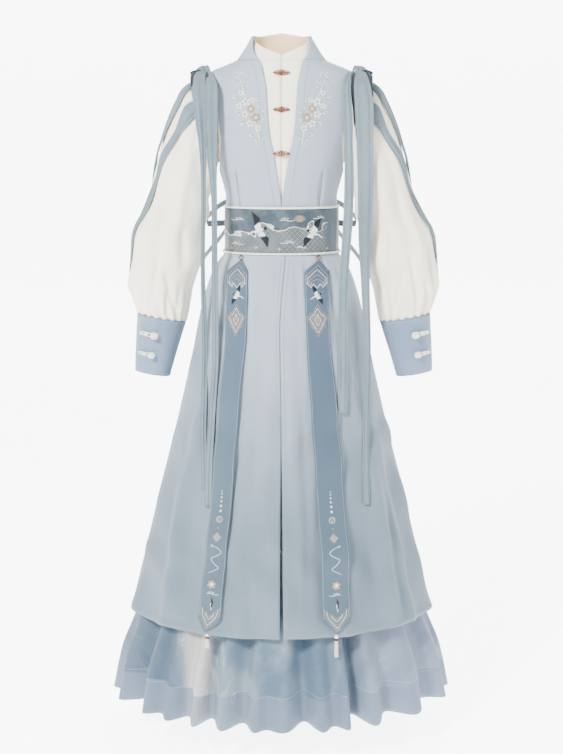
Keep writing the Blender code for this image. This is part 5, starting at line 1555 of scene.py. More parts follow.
def shoulder_knot(letter):
    """A fan of rolled pleats over a painted-shadow ball, painted-shadow strands beside the ribbons,
    a twist across them, and beads.
    """
    node = "shoulder_gather_" + letter
    middle, half = box_of(node)
    sign = SIDES[letter]
    rows = np.linspace(0.0, 1.0, 16)
    rolls = []
    for i in range(KNOT_PLEATS):
        side = 2.0 * i / (KNOT_PLEATS - 1) - 1.0
        uneven = 0.1 * math.sin(2.3 * i + (0.8 if letter == "r" else 0.0))
        x = half[0] * (0.34 + 0.5 * rows ** 1.3) * (side + uneven * rows)
        y = half[1] * (0.75 - 1.62 * rows) * (1.0 - 0.2 * side * side)
        z = half[2] * (0.1 + 0.62 * np.sin(math.pi * np.clip(rows * 1.25, 0, 1)) ** 0.8
                       - 0.8 * rows ** 3 - 0.45 * side)
        path = middle + xyz(sign * x, y, z)
        fat = half[0] * (0.07 + 0.062 * rows) * np.sin(math.pi * (0.1 + 0.84 * rows)) ** 0.35
        rolls.append(strand(path, fat, 10, flat=0.95, up=np.array([0.0, -0.5, 1.0])))
    wear(join(node + "_cloth", rolls, RIBBON), node)
    # Painted shadow: a near-black ball under the pleats and two near-black tapered strands in the
    # gaps beside the hanging ribbons, where shade falls.
    core = ball(middle - [-sign * half[0] * 0.22, 0.0, half[2] * 0.26], half[0] * 0.76,
                (1.0, half[1] / half[0] * 0.96, half[2] / half[0] * 0.92), 24)
    z = np.linspace(-0.028, -0.132, 30)
    inner_x, inner_y, inner_width = (smooth(z, HANG_INNER[letter], part) for part in (1, 2, 3))
    outer_x, outer_y, outer_width = (smooth(z, HANG_OUTER[letter], part) for part in (1, 2, 3))
    slit = (inner_x + outer_x + sign * (inner_width - outer_width) / 2) / 2
    taper = np.sqrt(np.linspace(1.0, 0.0, 30)) + 0.02
    painted_shadows = [core, strand(xyz(slit, np.maximum(inner_y, outer_y) + 0.0015, z),
                            0.0042 * taper, 8)]
    z = np.linspace(-0.026, -0.074, 30)
    outer_x, outer_y, outer_width = (smooth(z, HANG_OUTER[letter], part) for part in (1, 2, 3))
    beside = outer_x + sign * (outer_width / 2 + 0.0022)
    painted_shadows.append(strand(xyz(beside, outer_y + 0.002, z), 0.0034 * taper, 8))
    wear(join(node + "_hollow", painted_shadows, PLEAT_SHADOW_PAINT), node)
    across = np.linspace(-1.0, 1.0, 22)
    path = middle + half * xyz(0.46 * across, 0.18,
                               0.86 - 0.4 * across * across - 0.3 * sign * across)
    twist = strand(path, half[2] * 0.3 * (1.0 - 0.5 * across ** 4), 15, lobes=3, depth=0.2,
                   twist=420.0)
    wear(join(node + "_twist", [twist], RIBBON), node)
    beads = []
    for i in range(6):
        share = (i + 0.5) / 6.0
        place_at = path[int(share * (len(across) - 1))]
        lift = [0.0012 * math.sin(2.0 * i), -0.0024 - 0.0012 * math.cos(2.0 * i), half[2] * 0.26]
        beads.append(ball(place_at + lift, 0.0013 + 0.0003 * (i % 2), sides=10))
    wear(join("shoulder_beads_" + letter, beads, CORD), None)


shoulder_knot("l")
shoulder_knot("r")
print("ribbons and shoulder knots made")

# %% [markdown]
# ## Clasps
# Three small cast clasps close the blouse. Each is an oval boss with a ring of petals, and on
# both sides a wing of scrolls that ends in a drop. Thin scrolls with gaps between them look
# like fine casting far better than a plate with a picture on it.

# %% Clasps
def scroll(centre, start_radius, end_radius, begin, sweep):
    """A spiral in the plane of the chest, from one radius to another."""
    turn = begin + np.linspace(0, sweep, 26)
    reach = np.linspace(start_radius, end_radius, 26)
    return xyz(centre[0] + reach * np.cos(turn), 0.0, centre[1] + reach * np.sin(turn) * 0.86)


SCROLLS = in_metres((
    # x, z, first radius, last radius, where it begins in half turns, how far it turns
    (7.8, 2.2, 2.6, 0.7, 1.1, -4.6), (11.2, 1.2, 2.1, 0.6, 0.9, -4.2),
    (14, 0.6, 1.5, 0.5, 0.8, -3.8),
), keep=(4, 5))


def clasp(node):
    """One cast clasp: boss, petals and a wing of scrolls on both sides."""
    middle, _ = box_of(node)
    parts = []
    turn = np.arange(40) * TURN / 40
    for size, radius in ((1.0, 0.00082), (0.66, 0.0006)):
        rim = xyz(0.0058 * size * np.cos(turn), -0.0006, 0.005 * size * np.sin(turn))
        parts.append(strand(rim, radius, 8, closed=True))
    parts.append(ball((0, -0.001, 0), 0.0026, (1, 0.75, 1), 16))
    for i in range(10):
        away = TURN * (i + 0.5) / 10
        parts.append(ball((0.0047 * math.cos(away), -0.0012, 0.0041 * math.sin(away)), 0.0008,
                          sides=8))
    for side in (1, -1):
        for flip in (1, -1):
            for x, z, big, small, begin, sweep in SCROLLS:
                path = scroll((x, z), big, small, begin * math.pi, sweep)
                path[:, 0] *= side
                path[:, 2] *= flip
                parts.append(strand(path, np.linspace(0.00078, 0.00052, 26), 7))
                parts.append(ball(path[-1] + [0, -0.0002, 0], 0.0009, sides=8))
        parts.append(strand(curve([(side * 0.0052, 0, 0), (side * 0.0105, -0.0004, 0),
                                   (side * 0.0158, 0, 0)], 14), 0.00085, 7))
        parts.append(ball((side * 0.0162, 0, 0), 0.001, (1.2, 0.8, 0.9), 10))
    parts = [(points + middle, faces, uvs) for points, faces, uvs in parts]
    wear(join(node + "_casting", parts, BRONZE), node)


for number in (1, 2, 3):
    clasp("clasp_%d" % number)

# %% [markdown]
# ## Knotted closures on the cuffs
# A knotted ball passes through a loop of the same cord. The ball is a woven knot: its cord
# runs up and down as it goes round, over and under itself, on the surface of a small sphere.
# Beside it lie two smaller knots, where the loop is tied and sewn down.

# %% Cuff closures
CUFF_KNOTS = (
    # height, size of the ball
    (-0.5415, 0.008),
    (-0.5825, 0.0073),
)
SMALL_KNOTS = (
    # place along the loop, size as a share of the ball's
    (0.52, 0.62),
    (0.84, 0.5),
)
CUFF_KNOT_TURNS = {"l": (78.0, 38.0), "r": (85.0, 43.0)}


def woven_ball(centre, radius, frame_axes):
    """A cord that weaves round a sphere, with a core inside to close the gaps."""
    t = np.linspace(0, TURN, 141)[:-1]
    latitude = 1.02 * np.sin(5.0 * t)
    longitude = 3.0 * t
    reach = radius * (0.74 + 0.055 * np.cos(10.0 * t + 0.8))
    local = xyz(reach * np.cos(latitude) * np.cos(longitude),
                reach * np.cos(latitude) * np.sin(longitude), reach * np.sin(latitude))
    path = centre + local @ frame_axes
    return [strand(path, radius * 0.235, 8, closed=True, lobes=3, depth=0.08, twist=60.0),
            ball(centre, radius * 0.7, sides=12)]


def closure(letter, number, z, size):
    """A ball, its loop and the two small knots where the loop is tied, as one cord piece."""
    node = "cuff_knot_%s_%d" % (letter, number)
    rise = (z - CUFF_BOTTOM_Z) / (CUFF_TOP_Z - CUFF_BOTTOM_Z)
    first, last = (math.radians(turn) for turn in CUFF_KNOT_TURNS[letter])
    begin = to_side(cuff(rise, first, size + 0.8 * MM), letter)
    end = to_side(cuff(rise, last, 5.4 * MM), letter)
    run = end - begin
    length = float(np.linalg.norm(run))
    along = unit(run)
    out = unit(np.cross(along, UPWARD))
    upward = np.cross(out, along)
    axes = np.array([along, out, upward])
    parts = woven_ball(begin, size, axes)
    for share, small in SMALL_KNOTS:
        parts += woven_ball(begin + along * length * share, size * small, axes)
    half = np.linspace(0, TURN, 61)[:-1]
    loop = (begin + along * (length * (0.46 - 0.46 * np.cos(half)))[:, None]
            + upward * (size * 0.42 * np.sin(half))[:, None])
    parts.append(strand(loop, 0.001, 8, closed=True, lobes=3, depth=0.1, twist=60.0))
    merged = np.concatenate([part[0] for part in parts])
    shift = seat(merged, node)[0] - merged[0]
    parts = [(points + shift, faces, uvs) for points, faces, uvs in parts]
    wear(join(node + "_cord", parts, CORD), node)


for letter in ("l", "r"):
    for number, (z, size) in enumerate(CUFF_KNOTS, start=1):
        closure(letter, number, z, size)
print("clasps and closures made")

# %% [markdown]
# ## Needlework
# Satin stitch lies a little above the cloth and shines along its threads, so each petal,
# leaf, line and feather is a low strand of its own, laid over the surface it is sewn to.
# A motif is drawn flat, in metres across and up. Then all its points are carried to the cloth
# at once, by the same function that made the cloth, and raised by a fifth of a millimetre.

# %% Stitched shapes
FLOSS = {"white": WHITE_THREAD, "gold": GOLD_THREAD, "black": BLACK_THREAD,
         "grey": GREY_THREAD, "red": RED_THREAD}


def leaf(start_at, end_at, width, bend=0.0, count=9):
    """A shape pointed at both ends."""
    t = np.linspace(0, 1, count)
    start_at, end_at = np.array(start_at, float), np.array(end_at, float)
    run = end_at - start_at
    side = np.array([-run[1], run[0]])
    path = start_at + np.outer(t, run) + np.outer(np.sin(math.pi * t) * bend, side)
    return path, np.maximum(width / 2 * np.sin(math.pi * t) ** 0.75, 0.00012)


def stem(points, width, count=20):
    """A worked line through a few places, thin at its ends."""
    t = np.linspace(0, 1, count)
    return curve(points, count), width / 2 * (0.35 + 0.65 * np.sin(math.pi * t) ** 0.4)


def straight(points, width):
    """Straight worked lines from corner to corner."""
    made = []
    for here, there in zip(points[:-1], points[1:]):
        path = np.linspace(here, there, 7)
        made.append((path, np.full(7, width / 2)))
    return made


def polar(centre, reach, turn):
    """Places at a distance and a direction from a centre."""
    return xyz(centre[0] + reach * np.cos(turn), centre[1] + reach * np.sin(turn))


def hoop(centre, radius, width, count=18):
    """A worked ring."""
    return polar(centre, radius, np.linspace(0, TURN, count)), np.full(count, width / 2)


def disc(centre, radius, count=7):
    """A filled round dot."""
    t = np.linspace(-0.97, 0.97, count)
    return xyz(centre[0], centre[1] + radius * t), radius * np.sqrt(1 - t * t)


def coil(centre, big, small, begin, sweep, width, count=22):
    """A curl of a cloud or a tendril."""
    t = np.linspace(0, 1, count)
    path = polar(centre, big + (small - big) * t, begin + sweep * t)
    return path, width / 2 * (1.0 - 0.5 * t)


# %% Blossoms, birds and clouds
def blossom(work, centre, radius, petals, turn, colour="white", heart="gold"):
    """An open flower: round petals, a knot in the middle and short stamens."""
    for i in range(petals):
        away = turn + TURN * i / petals
        work[colour].append(leaf(polar(centre, radius * 0.2, away),
                                 polar(centre, radius, away), radius * 0.66, 0.0, 8))
    for i in range(petals):
        away = turn + TURN * (i + 0.5) / petals
        line = [polar(centre, radius * share, away) for share in (0.15, 0.42, 0.62)]
        work[heart].append(stem(line, radius * 0.1, 5))
    work[heart].append(disc(centre, radius * 0.2))


def carried(path, width, x, z, turn, size, flip):
    """A shape drawn at the origin, turned, scaled and set down at a place."""
    c, s = math.cos(turn), math.sin(turn)
    across, up = path[:, 0] * flip * size, path[:, 1] * size
    return xyz(x + across * c - up * s, z + across * s + up * c), width * size


def bird(work, x, z, turn, size, flip=1):
    """A plain long-necked bird in flight, drawn one metre from head to foot and scaled."""
    shapes = {key: [] for key in work}
    shapes["white"].append(leaf((-0.16, 0.0), (0.2, 0.02), 0.17, 0.04, 9))
    shapes["white"].append(stem([(0.14, 0.02), (0.26, 0.06), (0.36, 0.03), (0.44, 0.06)], 0.055,
                                12))
    shapes["black"].append(stem([(0.32, 0.035), (0.38, 0.03), (0.43, 0.05)], 0.035, 7))
    shapes["red"].append(disc((0.445, 0.08), 0.02, 5))
    shapes["gold"].append(leaf((0.45, 0.062), (0.55, 0.055), 0.022, 0.0, 5))
    for side in (1, -1):
        for i in range(6):
            share = i / 5.0
            root = (0.08 - 0.15 * share, side * 0.05)
            lift = (0.24 + 0.16 * share) * (1.0 if side > 0 else 0.86)
            tip = (0.1 - 0.2 * share, side * (lift - 0.06 * share))
            shapes["white"].append(leaf(root, tip, 0.052, side * 0.06, 7))
        for i in range(7):
            share = i / 6.0
            root = (0.1 - 0.19 * share, side * (0.2 + 0.02 * share))
            tip = (-0.03 - 0.15 * share, side * (0.8 - 0.32 * share) * (1.0 if side > 0 else 0.9))
            shapes["black"].append(leaf(root, tip, 0.05, side * 0.05, 7))
    for i in range(4):
        shapes["black"].append(leaf((-0.13, 0.0), (-0.3, 0.045 * (i - 1.5)), 0.04, 0.0, 6))
    for offset in (-0.012, 0.016):
        shapes["grey"].append(stem([(-0.18, offset), (-0.34, offset * 1.6), (-0.48, offset)],
                                   0.014, 8))
    for key, drawn in shapes.items():
        work[key] += [carried(path, width, x, z, turn, size, flip) for path, width in drawn]


def cloud(work, x, z, size, flip=1, colour="white", width=0.0009):
    """A run of three curls over a long tail, the old way to draw a cloud."""
    for dx, dz, big, sweep in ((0.0, 0.0, 0.34, 5.2), (0.62, 0.14, 0.28, 4.8),
                               (1.12, 0.0, 0.2, 4.4)):
        path, half = coil((dx, dz), big, 0.07, -0.5 * math.pi, sweep, 1.0)
        path, _ = carried(path, half, x, z, 0.0, size, flip)
        work[colour].append((path, width / 2 * np.linspace(1.0, 0.55, len(path))))
    tail = np.array([(-1.3, -0.2), (-0.7, -0.36), (0.0, -0.34), (0.62, -0.16), (1.12, -0.2),
                     (1.7, -0.3)])
    path, _ = carried(tail, 1.0, x, z, 0.0, size, flip)
    work[colour].append(stem(path, width, 22))


# %% Floss on the cloth
def needle():
    """An empty drawing: a list of shapes for each colour of floss."""
    return {key: [] for key in FLOSS}


def embroider(name, work, seat_at, lift=0.0002, flat=0.42):
    """Carries a drawing to the cloth and makes one mesh for each colour of floss."""
    for colour, drawn in work.items():
        if not drawn:
            continue
        joined = np.concatenate([path for path, _ in drawn])
        places = seat_at(joined[:, 0], joined[:, 1], lift)
        away = seat_at(joined[:, 0], joined[:, 1], lift + 0.001) - places
        parts, first = [], 0
        for path, half in drawn:
            last = first + len(path)
            parts.append(strand(places[first:last], half, 6, flat=flat, up=away[first:last]))
            first = last
        piece = join("%s_%s_floss" % (name, colour), parts, FLOSS[colour])
        wear(piece, None)
    print(name, "stitched shapes:", sum(len(drawn) for drawn in work.values()))


# %% [markdown]
# ## Sprays on the chest
# Down each front runs a flowering branch in white and pale gold. It starts as loose curls near
# the collar, thickens into a cluster of open blossoms beside the opening and thins out again
# into buds. The two sides answer one another without being exact mirror images.

# %% Chest sprays
BRANCH = in_metres(((88, -22), (80, -46), (72, -72), (61, -98), (50.5, -124), (43, -146),
                    (40.5, -166)))
BLOSSOMS = in_metres((
    # x, z, radius, petals
    (69, -82, 9, 5), (81, -90, 6.6, 5), (59, -96, 8.6, 6), (70, -106, 8, 5), (49, -113, 10, 6),
    (60, -124, 7.6, 5), (44, -133, 7, 5), (80, -66, 6, 5), (56, -79, 5.6, 5),
), keep=(3,))
BUDS = in_metres((
    # x, z, direction in degrees, length
    (83, -40, 40, 7), (74, -52, 200, 7), (84, -76, 10, 8), (76, -104, -20, 8.5),
    (69, -120, -35, 8.5), (55.5, -140, -50, 8), (47, -150, -70, 7), (38, -148, 240, 6.2),
    (52, -84, 150, 7), (40.5, -104, 160, 6),
), keep=(2,))
CURLS = in_metres((
    # x, z, radius, where it begins, how far it turns
    (90, -33, 6.2, 1.2, 4.6), (80, -30, 5, 3.6, -4.4), (70, -44, 4.6, 0.6, -4.8),
    (88, -54, 5, 2.8, -4.4), (98, -46, 4.4, 0.2, 4.2), (90, -72, 4.8, 5.2, 4.6),
    (42, -96, 4, 2, -4.6), (86, -104, 4.6, 5.6, 4.4), (74, -124, 4.4, 5, 4.4),
    (36, -120, 3.4, 2.4, -4.4), (56, -144, 4, 4.6, 4.6), (44, -164, 3.6, 1.4, -4.2),
), keep=(3, 4))


def chest_spray(letter, sign, lean):
    """One front's spray; lean tips it, so that the two sides aren't mirror images."""
    work = needle()

    def at(x, z):
        return sign * (x + lean * (z + 0.09)), z

    work["white"].append(stem([at(*point) for point in BRANCH], 0.0016, 40))
    for x, z, radius, petals in BLOSSOMS:
        centre = at(x, z)
        blossom(work, centre, radius, petals, 0.7 * x / MM, "white" if petals == 5 else "gold",
                "gold" if petals == 5 else "white")
        near = min(BRANCH, key=lambda point: math.hypot(point[0] - x, point[1] - z - 0.012))
        work["grey"].append(stem([at(*near), at((near[0] + x) / 2 + 0.001, (near[1] + z) / 2),
                                  centre], 0.0009, 10))
    for x, z, degrees, length in BUDS:
        turn = math.radians(degrees)
        for fan in (-0.55, 0.0, 0.55):
            tip = polar((x, z), length * (1.3 if fan == 0.0 else 0.95), turn + fan)
            work["gold" if fan else "white"].append(leaf(at(x, z), at(*tip), 0.0026, 0.12, 7))
        near = min(BRANCH, key=lambda point: math.hypot(point[0] - x, point[1] - z))
        work["white"].append(stem([at(*near), at((near[0] + x) / 2, (near[1] + z) / 2 - 0.001),
                                   at(x, z)], 0.0005, 8))
    for x, z, big, begin, sweep in CURLS:
        path, half = coil((0, 0), big * 1.25, 0.001, begin, sweep, 0.0011)
        moved = np.array([at(x + dx, z + dz) for dx, dz in path])
        work["white"].append((moved, half))
    embroider("chest_spray_" + letter, work, on_vest)


chest_spray("l", 1, 0.02)
chest_spray("r", -1, -0.03)

# %% [markdown]
# ## Needlework on the belt
# Two white birds with black wing tips cross the front of the belt among clouds, with a small
# sun of gold floss and a few stars. Birds over clouds are an old wish for a long life. The
# larger one climbs toward the wearer's right, and the smaller one glides after it.

# %% Belt needlework
BELT_CLOUDS = in_metres((
    # x, z, size, side it faces
    (-86, -308, 8.5, 1), (13, -308, 10, -1), (9, -352, 9.5, 1), (-82, -356, 8, -1),
    (70, -305, 7.5, 1), (39, -362, 6, -1),
), keep=(3,))
SUN_X, SUN_TOP = 0.035, -0.302


def on_belt(x, z, out):
    """A point over the belt's front at a given x and height."""
    return belt(angle_at(x, z), z, BELT_OUT + 0.0001 + out + 0 * x)


work = needle()
bird(work, -0.042, -0.331, math.radians(24.0), 0.054, -1)
bird(work, 0.06, -0.336, math.radians(-32.0), 0.048, 1)
for x, z, size, flip in BELT_CLOUDS:
    cloud(work, x, z, size, flip)
for i in range(7):
    height = SUN_TOP - 0.0018 * i
    reach = 0.012 * math.sqrt(max(1.0 - ((i - 3) / 3.6) ** 2, 0.05))
    work["gold"].append(leaf((SUN_X - reach, height), (SUN_X + reach, height), 0.0016, 0.0, 9))
for i in range(5):
    blossom(work, (-0.096 + 0.0465 * i + 0.004 * math.sin(3.0 * i), -0.367 + 0.003 * (i % 2)),
            0.0032, 5, 0.5 * i, "gold", "white")
embroider("belt_birds", work, on_belt)

# %% [markdown]
# ## Needlework on the streamers
# The top of each streamer carries nested gables, a small bird and a lozenge of net. The long
# middle stays bare. Near the foot a string of growing dots leads to a ring, a star flower, a
# wandering thread, a blossom on a cloud and a last pointed panel that follows the band's tip.

# %% Streamer needlework
LINE = 0.9 * MM
NET_MIDDLE, NET_REACH_UP = -0.503, 0.031
RING_Z, STAR_Z, FLOWER_Z = -0.882, -0.916, -1.006


def mirrored(points):
    """A line of corners that ends on the middle, run back down the other side."""
    return points + [(-x, z) for x, z in points[-2::-1]]


def streamer_top(work, half, sign):
    """Nested gables, two curled lines and a small bird."""
    for i in range(4):
        reach, top = half - 0.0034 * i, -0.399 - 0.0085 * i
        foot = -0.419 - 0.0036 * i
        colour = "white" if i == 1 else "gold"
        work[colour] += straight(mirrored([(-reach, foot - 0.012), (-reach, foot), (0.0, top)]),
                                 LINE)
    for side in (1, -1):
        work["white"] += straight([(side * half, -0.431), (side * half * 0.55, -0.44),
                                   (side * half * 0.3, -0.4335), (0.0, -0.442)], LINE)
        work["white"].append(coil((side * half * 0.62, -0.434), 0.0034, 0.0008, 1.2, side * 5.0,
                                  0.0007))
    bird(work, 0.0, -0.456, math.radians(30.0 if sign > 0 else -24.0), 0.031, -sign)


def streamer_net(work, half):
    """A lozenge of net, line within line, with three small blossoms on it."""
    middle = NET_MIDDLE
    for i in range(4):
        share = 1.0 - 0.23 * i
        colour = "gold" if i % 2 == 0 else "white"
        reach, height = half * 0.96 * share, NET_REACH_UP * share
        corners = ((0.0, -1.0), (-1.0, 0.2), (-0.62, 0.46), (-0.5, 0.4), (0.0, 0.98))
        work[colour] += straight(mirrored([(reach * x, middle + height * z) for x, z in corners]),
                                 LINE)
    for i in range(-3, 4):
        reach = half * (0.62 - 0.05 * abs(i))
        for side in (1, -1):
            work["gold"] += straight([(side * (0.004 * i - reach * 0.3), middle - 0.015),
                                      (side * (0.004 * i + reach * 0.3), middle + 0.008)],
                                     0.0005)
    for i in range(3):
        blossom(work, (0.0, middle + 0.0105 - 0.0095 * i), 0.0034 - 0.0006 * i, 4,
                math.pi / 4, "gold", "white")


def streamer_string(work, lean):
    """Growing dots, a ring, a star flower, a wandering thread and a blossom on a cloud."""
    height = -0.828
    for i in range(6):
        work["white"].append(disc((0.0, height), 0.001 + 0.00028 * i))
        height -= 0.0056 + 0.001 * i
    work["white"].append(hoop((0.0, RING_Z), 0.0052, LINE))
    work["gold"].append(disc((0.0, RING_Z), 0.0026))
    work["gold"].append(disc((0.0, -0.898), 0.0014))
    for size, colour in ((0.0096, "gold"), (0.0066, "white")):
        work[colour] += straight([(0, STAR_Z + size), (size * 0.85, STAR_Z), (0, STAR_Z - size),
                                  (-size * 0.85, STAR_Z), (0, STAR_Z + size)], 0.0008)
    blossom(work, (0.0, STAR_Z), 0.0046, 4, 0.0, "gold", "white")
    wander = in_metres(((11, -931), (-2, -936), (-10, -944), (-1, -952), (8, -958), (1, -968),
                        (-7, -974), (4, -982), (12, -986)))
    work["white"].append(stem([(lean * x, z) for x, z in wander], 0.001, 44))
    work["white"].append(coil((lean * 0.0085, -0.9335), 0.003, 0.0006, 0.8, lean * 4.6, 0.0008))
    blossom(work, (lean * 0.001, FLOWER_Z), 0.0088, 6, 0.3, "gold", "white")
    blossom(work, (lean * 0.001, FLOWER_Z), 0.0048, 6, 0.8, "white", "gold")
    cloud(work, -lean * 0.004, -1.022, 0.0078, lean)
    work["black"].append(leaf((0.001, -1.03), (-0.001, -1.054), 0.0042, 0.1, 12))
    work["white"].append(leaf((0.0034, -1.036), (0.0022, -1.056), 0.003, -0.1, 12))


# %% The foot of a streamer, and both streamers
def streamer_foot(work, half):
    """The pointed panel that follows the band's tip."""
    for i in range(5):
        reach, foot = half * (1.0 - 0.2 * i), -1.093 + 0.0064 * i
        colour = "gold" if i % 2 == 0 else "white"
        work[colour] += straight(mirrored([(-reach, -1.048 - 0.004 * i),
                                           (-reach * 0.86, -1.066), (0.0, foot)]), LINE)
        if i in (1, 3):
            for side in (1, -1):
                work["gold"].append(coil((side * reach * 0.55, -1.062 - 0.002 * i), 0.0032,
                                         0.0007, 0.9, side * 4.8, 0.0008))


def streamer_work(letter, sign):
    """All the needlework of one streamer, drawn from its middle line."""
    work = needle()

    def half_width(z):
        return smooth(z, STREAMER[letter], 2) / 2

    def on_band(x, z, out):
        return on_streamer(letter, x / half_width(z), z, out)

    top_half = float(half_width(-0.43)) - 0.003
    streamer_top(work, top_half, sign)
    streamer_net(work, top_half)
    streamer_string(work, sign)
    streamer_foot(work, float(half_width(-1.06)) - 0.0028)
    embroider("streamer_" + letter, work, on_band)


for letter, sign in SIDES.items():
    streamer_work(letter, sign)

# %% [markdown]
# ## Rows of stitches
# Every hem and edge is held by a row of small stitches. One node tree makes them all: it
# walks along a line at an even pitch, sets a short rounded thread on each point, turns it to
# the line's direction and varies its length a little, so that the row looks sewn by a hand.

# %% Stitch rows
STITCH_SIZES = (0.82, 1.08)


def stitch_tree():
    """A node tree with the pitch, the stitch size, the thread and the seed as its inputs."""
    tree = bpy.data.node_groups.new("stitch_row", "GeometryNodeTree")
    for name, kind in (("Line", "NodeSocketGeometry"), ("Pitch", "NodeSocketFloat"),
                       ("Length", "NodeSocketFloat"), ("Thickness", "NodeSocketFloat"),
                       ("Thread", "NodeSocketMaterial"), ("Seed", "NodeSocketInt")):
        tree.interface.new_socket(name=name, in_out="INPUT", socket_type=kind)
    tree.interface.new_socket(name="Stitches", in_out="OUTPUT", socket_type="NodeSocketGeometry")

    def node(kind, **settings):
        made = tree.nodes.new(kind)
        for name, value in settings.items():
            setattr(made, name, value)
        return made

    given, result = node("NodeGroupInput"), node("NodeGroupOutput")
    line = node("GeometryNodeMeshToCurve")
    points = node("GeometryNodeCurveToPoints", mode="LENGTH")
    turned = node("FunctionNodeAlignRotationToVector", axis="Z")
    thread_mesh = node("GeometryNodeMeshUVSphere")
    thread_mesh.inputs["Segments"].default_value = 6
    thread_mesh.inputs["Rings"].default_value = 5
    thread_mesh.inputs["Radius"].default_value = 0.5
    sizes = node("ShaderNodeCombineXYZ")
    shaped = node("GeometryNodeTransform")
    chance = node("FunctionNodeRandomValue", data_type="FLOAT")
    chance.inputs[2].default_value, chance.inputs[3].default_value = STITCH_SIZES
    placed = node("GeometryNodeInstanceOnPoints")
    real = node("GeometryNodeRealizeInstances")
    dyed = node("GeometryNodeSetMaterial")
    for source, output, target, socket in (
            (given, "Line", line, "Mesh"), (line, "Curve", points, "Curve"),
            (given, "Pitch", points, "Length"), (points, "Tangent", turned, "Vector"),
            (given, "Thickness", sizes, "X"), (given, "Thickness", sizes, "Y"),
            (given, "Length", sizes, "Z"), (thread_mesh, "Mesh", shaped, "Geometry"),
            (sizes, "Vector", shaped, "Scale"), (points, "Points", placed, "Points"),
            (shaped, "Geometry", placed, "Instance"), (turned, "Rotation", placed, "Rotation"),
            (given, "Seed", chance, "Seed"), (chance, 1, placed, "Scale"),
            (placed, "Instances", real, "Geometry"), (real, "Geometry", dyed, "Geometry"),
            (given, "Thread", dyed, "Material"), (dyed, "Geometry", result, "Stitches")):
        tree.links.new(source.outputs[output], target.inputs[socket])
    return tree


# %% Rows along the edges
STITCHES = stitch_tree()


def stitched(name, lines, pitch=0.0042, length=0.003, thickness=0.0007, thread_used=None):
    """Plain mesh of the stitches along some lines of points."""
    mesh = bpy.data.meshes.new(name + "_line")
    points = np.concatenate(lines)
    edges, first = [], 0
    for line in lines:
        edges += [(i, i + 1) for i in range(first, first + len(line) - 1)]
        first += len(line)
    mesh.from_pydata([tuple(p) for p in points], edges, [])
    row = bpy.data.objects.new(name + "_row", mesh)
    bpy.context.scene.collection.objects.link(row)
    modifier = row.modifiers.new("stitches", "NODES")
    modifier.node_group = STITCHES
    used = {"Pitch": pitch, "Length": length, "Thickness": thickness,
            "Thread": thread_used or SEWING, "Seed": len(name)}
    for item in STITCHES.interface.items_tree:
        if item.in_out == "INPUT" and item.name in used:
            modifier[item.identifier] = used[item.name]
    row.update_tag()
    seen = row.evaluated_get(bpy.context.evaluated_depsgraph_get())
    made = bpy.data.objects.new(name, bpy.data.meshes.new_from_object(seen))
    row.modifiers.clear()
    bpy.data.objects.remove(row)
    made.data.polygons.foreach_set("use_smooth", [True] * len(made.data.polygons))
    bpy.context.scene.collection.objects.link(made)
    wear(made, None)
    print(name, "faces:", len(made.data.polygons))


ring = np.linspace(0.0, TURN, 361)
heights = np.linspace(-0.28, -0.006, 90)
low_heights = np.linspace(VEST_HEM + 0.01, -0.386, 200)
band_heights = np.linspace(-1.066, -0.418, 200)
for letter, sign in SIDES.items():
    rows = []
    for z in (heights, low_heights):
        edge = smooth(z, VEST_EDGE, 1) + sign * smooth(z, VEST_MIDDLE, 1)
        inset = 0.015 if z[0] > -0.3 else 0.007
        rows.append(on_vest(sign * (edge + inset), z, 0.0003))
    stitched("vest_edge_stitches_" + letter, rows, 0.0042, 0.0037, 0.0013,
             thread_used=GREY_THREAD)
    start_x, end_x, _ = DARTS[letter]
    share = np.linspace(0.0, 1.0, 40)
    dart = on_vest(start_x + (end_x - start_x) * share, DART_TOP - 0.07 * share, 0.0002)
    stitched("vest_dart_stitches_" + letter, [dart], 0.0026, 0.0023, 0.0007,
             thread_used=GREY_THREAD)
    rows = [on_streamer(letter, side * 0.9 + 0 * band_heights, band_heights, 0.0003)
            for side in (1, -1)]
    stitched("streamer_stitches_" + letter, rows, 0.0036, 0.0026, 0.0006)
    rows = [to_side(cuff(rise + 0 * ring, ring, 0.0003), letter) for rise in (0.045, 0.955)]
    stitched("cuff_stitches_" + letter, rows, 0.0036, 0.0026, 0.0006)
stitched("vest_hem_stitches", [vest(ring, VEST_HEM + 0.008 + 0 * ring, 0.0003)], 0.005, 0.0034,
         thread_used=GREY_THREAD)
fold = np.radians(np.linspace(-90.0, 270.0, 1200))
stitched("skirt_band_stitches", [skirt(fold, SKIRT_BAND_Z + 0.5 * MM + 0 * fold)], 0.006, 0.004)

# %% [markdown]
# ## Floor and light
# The set is shown in a plain pale studio. A broad floor rolls up into a backdrop, so no
# horizon shows. Behind the set the paper is lit evenly to white. A strong soft lamp from the
# wearer's right models the folds, and weak ones fill the other side and the back.

# %% Studio
FLOOR_Z = -1.36
WALL_Y = 6.5
PAPER_BEND = 3.0
PAPER_GLOW = 6.5
AIR_TINT, AIR_GLOW = (248, 247, 246), 0.56


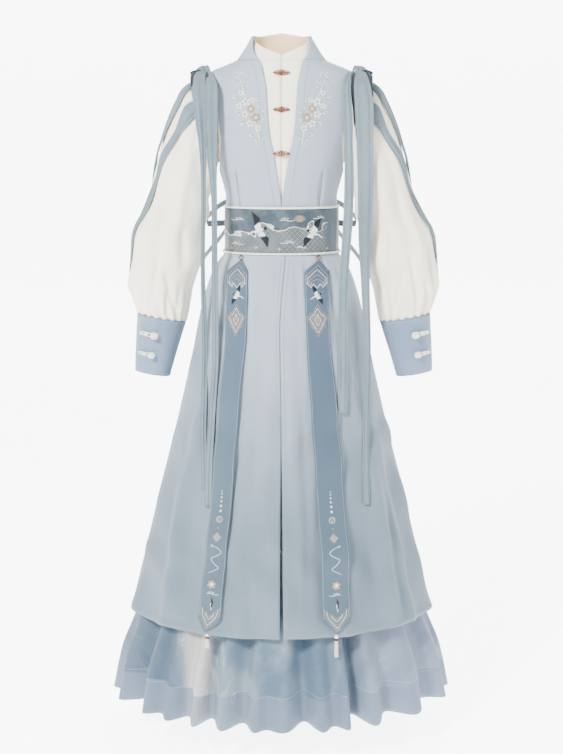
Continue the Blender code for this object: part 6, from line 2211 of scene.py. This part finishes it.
def backdrop():
    """Floor, curve and wall of one sheet of paper."""
    turn = np.linspace(0, math.pi / 2, 10)[1:]
    depth = np.concatenate([np.linspace(-8.0, WALL_Y, 6), WALL_Y + PAPER_BEND * np.sin(turn),
                            np.full(3, WALL_Y + PAPER_BEND)])
    height = np.concatenate([np.zeros(6), PAPER_BEND - PAPER_BEND * np.cos(turn),
                             np.array([5.0, 7.0, 9.0])])
    across = np.linspace(-12.0, 12.0, 5)
    points = [(x, y, FLOOR_Z + h) for y, h in zip(depth, height) for x in across]
    faces = [(i * 5 + j, i * 5 + j + 1, i * 5 + j + 6, i * 5 + j + 5)
             for i in range(len(depth) - 1) for j in range(4)]
    material, shader, _, place = start("studio_paper", 0.95)
    paper = place.clouds(3.0, 2.0).blend(tint(246, 246, 247), tint(250, 250, 250))
    feed(shader, "Base Color", paper)
    feed(shader, "Emission Color", place.part("Y").ramp(-0.7, -0.35).blend(
        (0.0, 0.0, 0.0), paper))
    shader.inputs["Emission Strength"].default_value = PAPER_GLOW
    uvs = np.zeros((4 * len(faces), 2))
    return build("studio_floor", points, faces, uvs, material)


backdrop()


def lamp(name, place, target, size, power, colour=(1.0, 1.0, 1.0)):
    """A round soft lamp at a place, turned to face a target."""
    light = bpy.data.lights.new(name, "AREA")
    light.shape = "DISK"
    light.size, light.energy, light.color = size, power, colour
    made = bpy.data.objects.new(name, light)
    made.location = place
    away = camera.location.copy()
    away[:] = np.subtract(place, target)
    made.rotation_euler = away.to_track_quat("Z", "Y").to_euler()
    bpy.context.scene.collection.objects.link(made)


lamp("key", (-1.9, -3.4, 1.9), (0, 0, -0.55), 1.0, 590.0, (1.0, 0.985, 0.965))
lamp("fill", (2.9, -2.6, 0.9), (0, 0, -0.6), 2.2, 105.0, (0.985, 0.99, 1.0))
lamp("rim", (1.2, 2.8, 1.8), (0, 0, -0.4), 1.6, 70.0)
world = bpy.data.worlds.new("studio_air")
world.use_nodes = True
air = world.node_tree.nodes["Background"]
air.inputs["Color"].default_value = (*tint(*AIR_TINT), 1.0)
air.inputs["Strength"].default_value = AIR_GLOW
bpy.context.scene.world = world
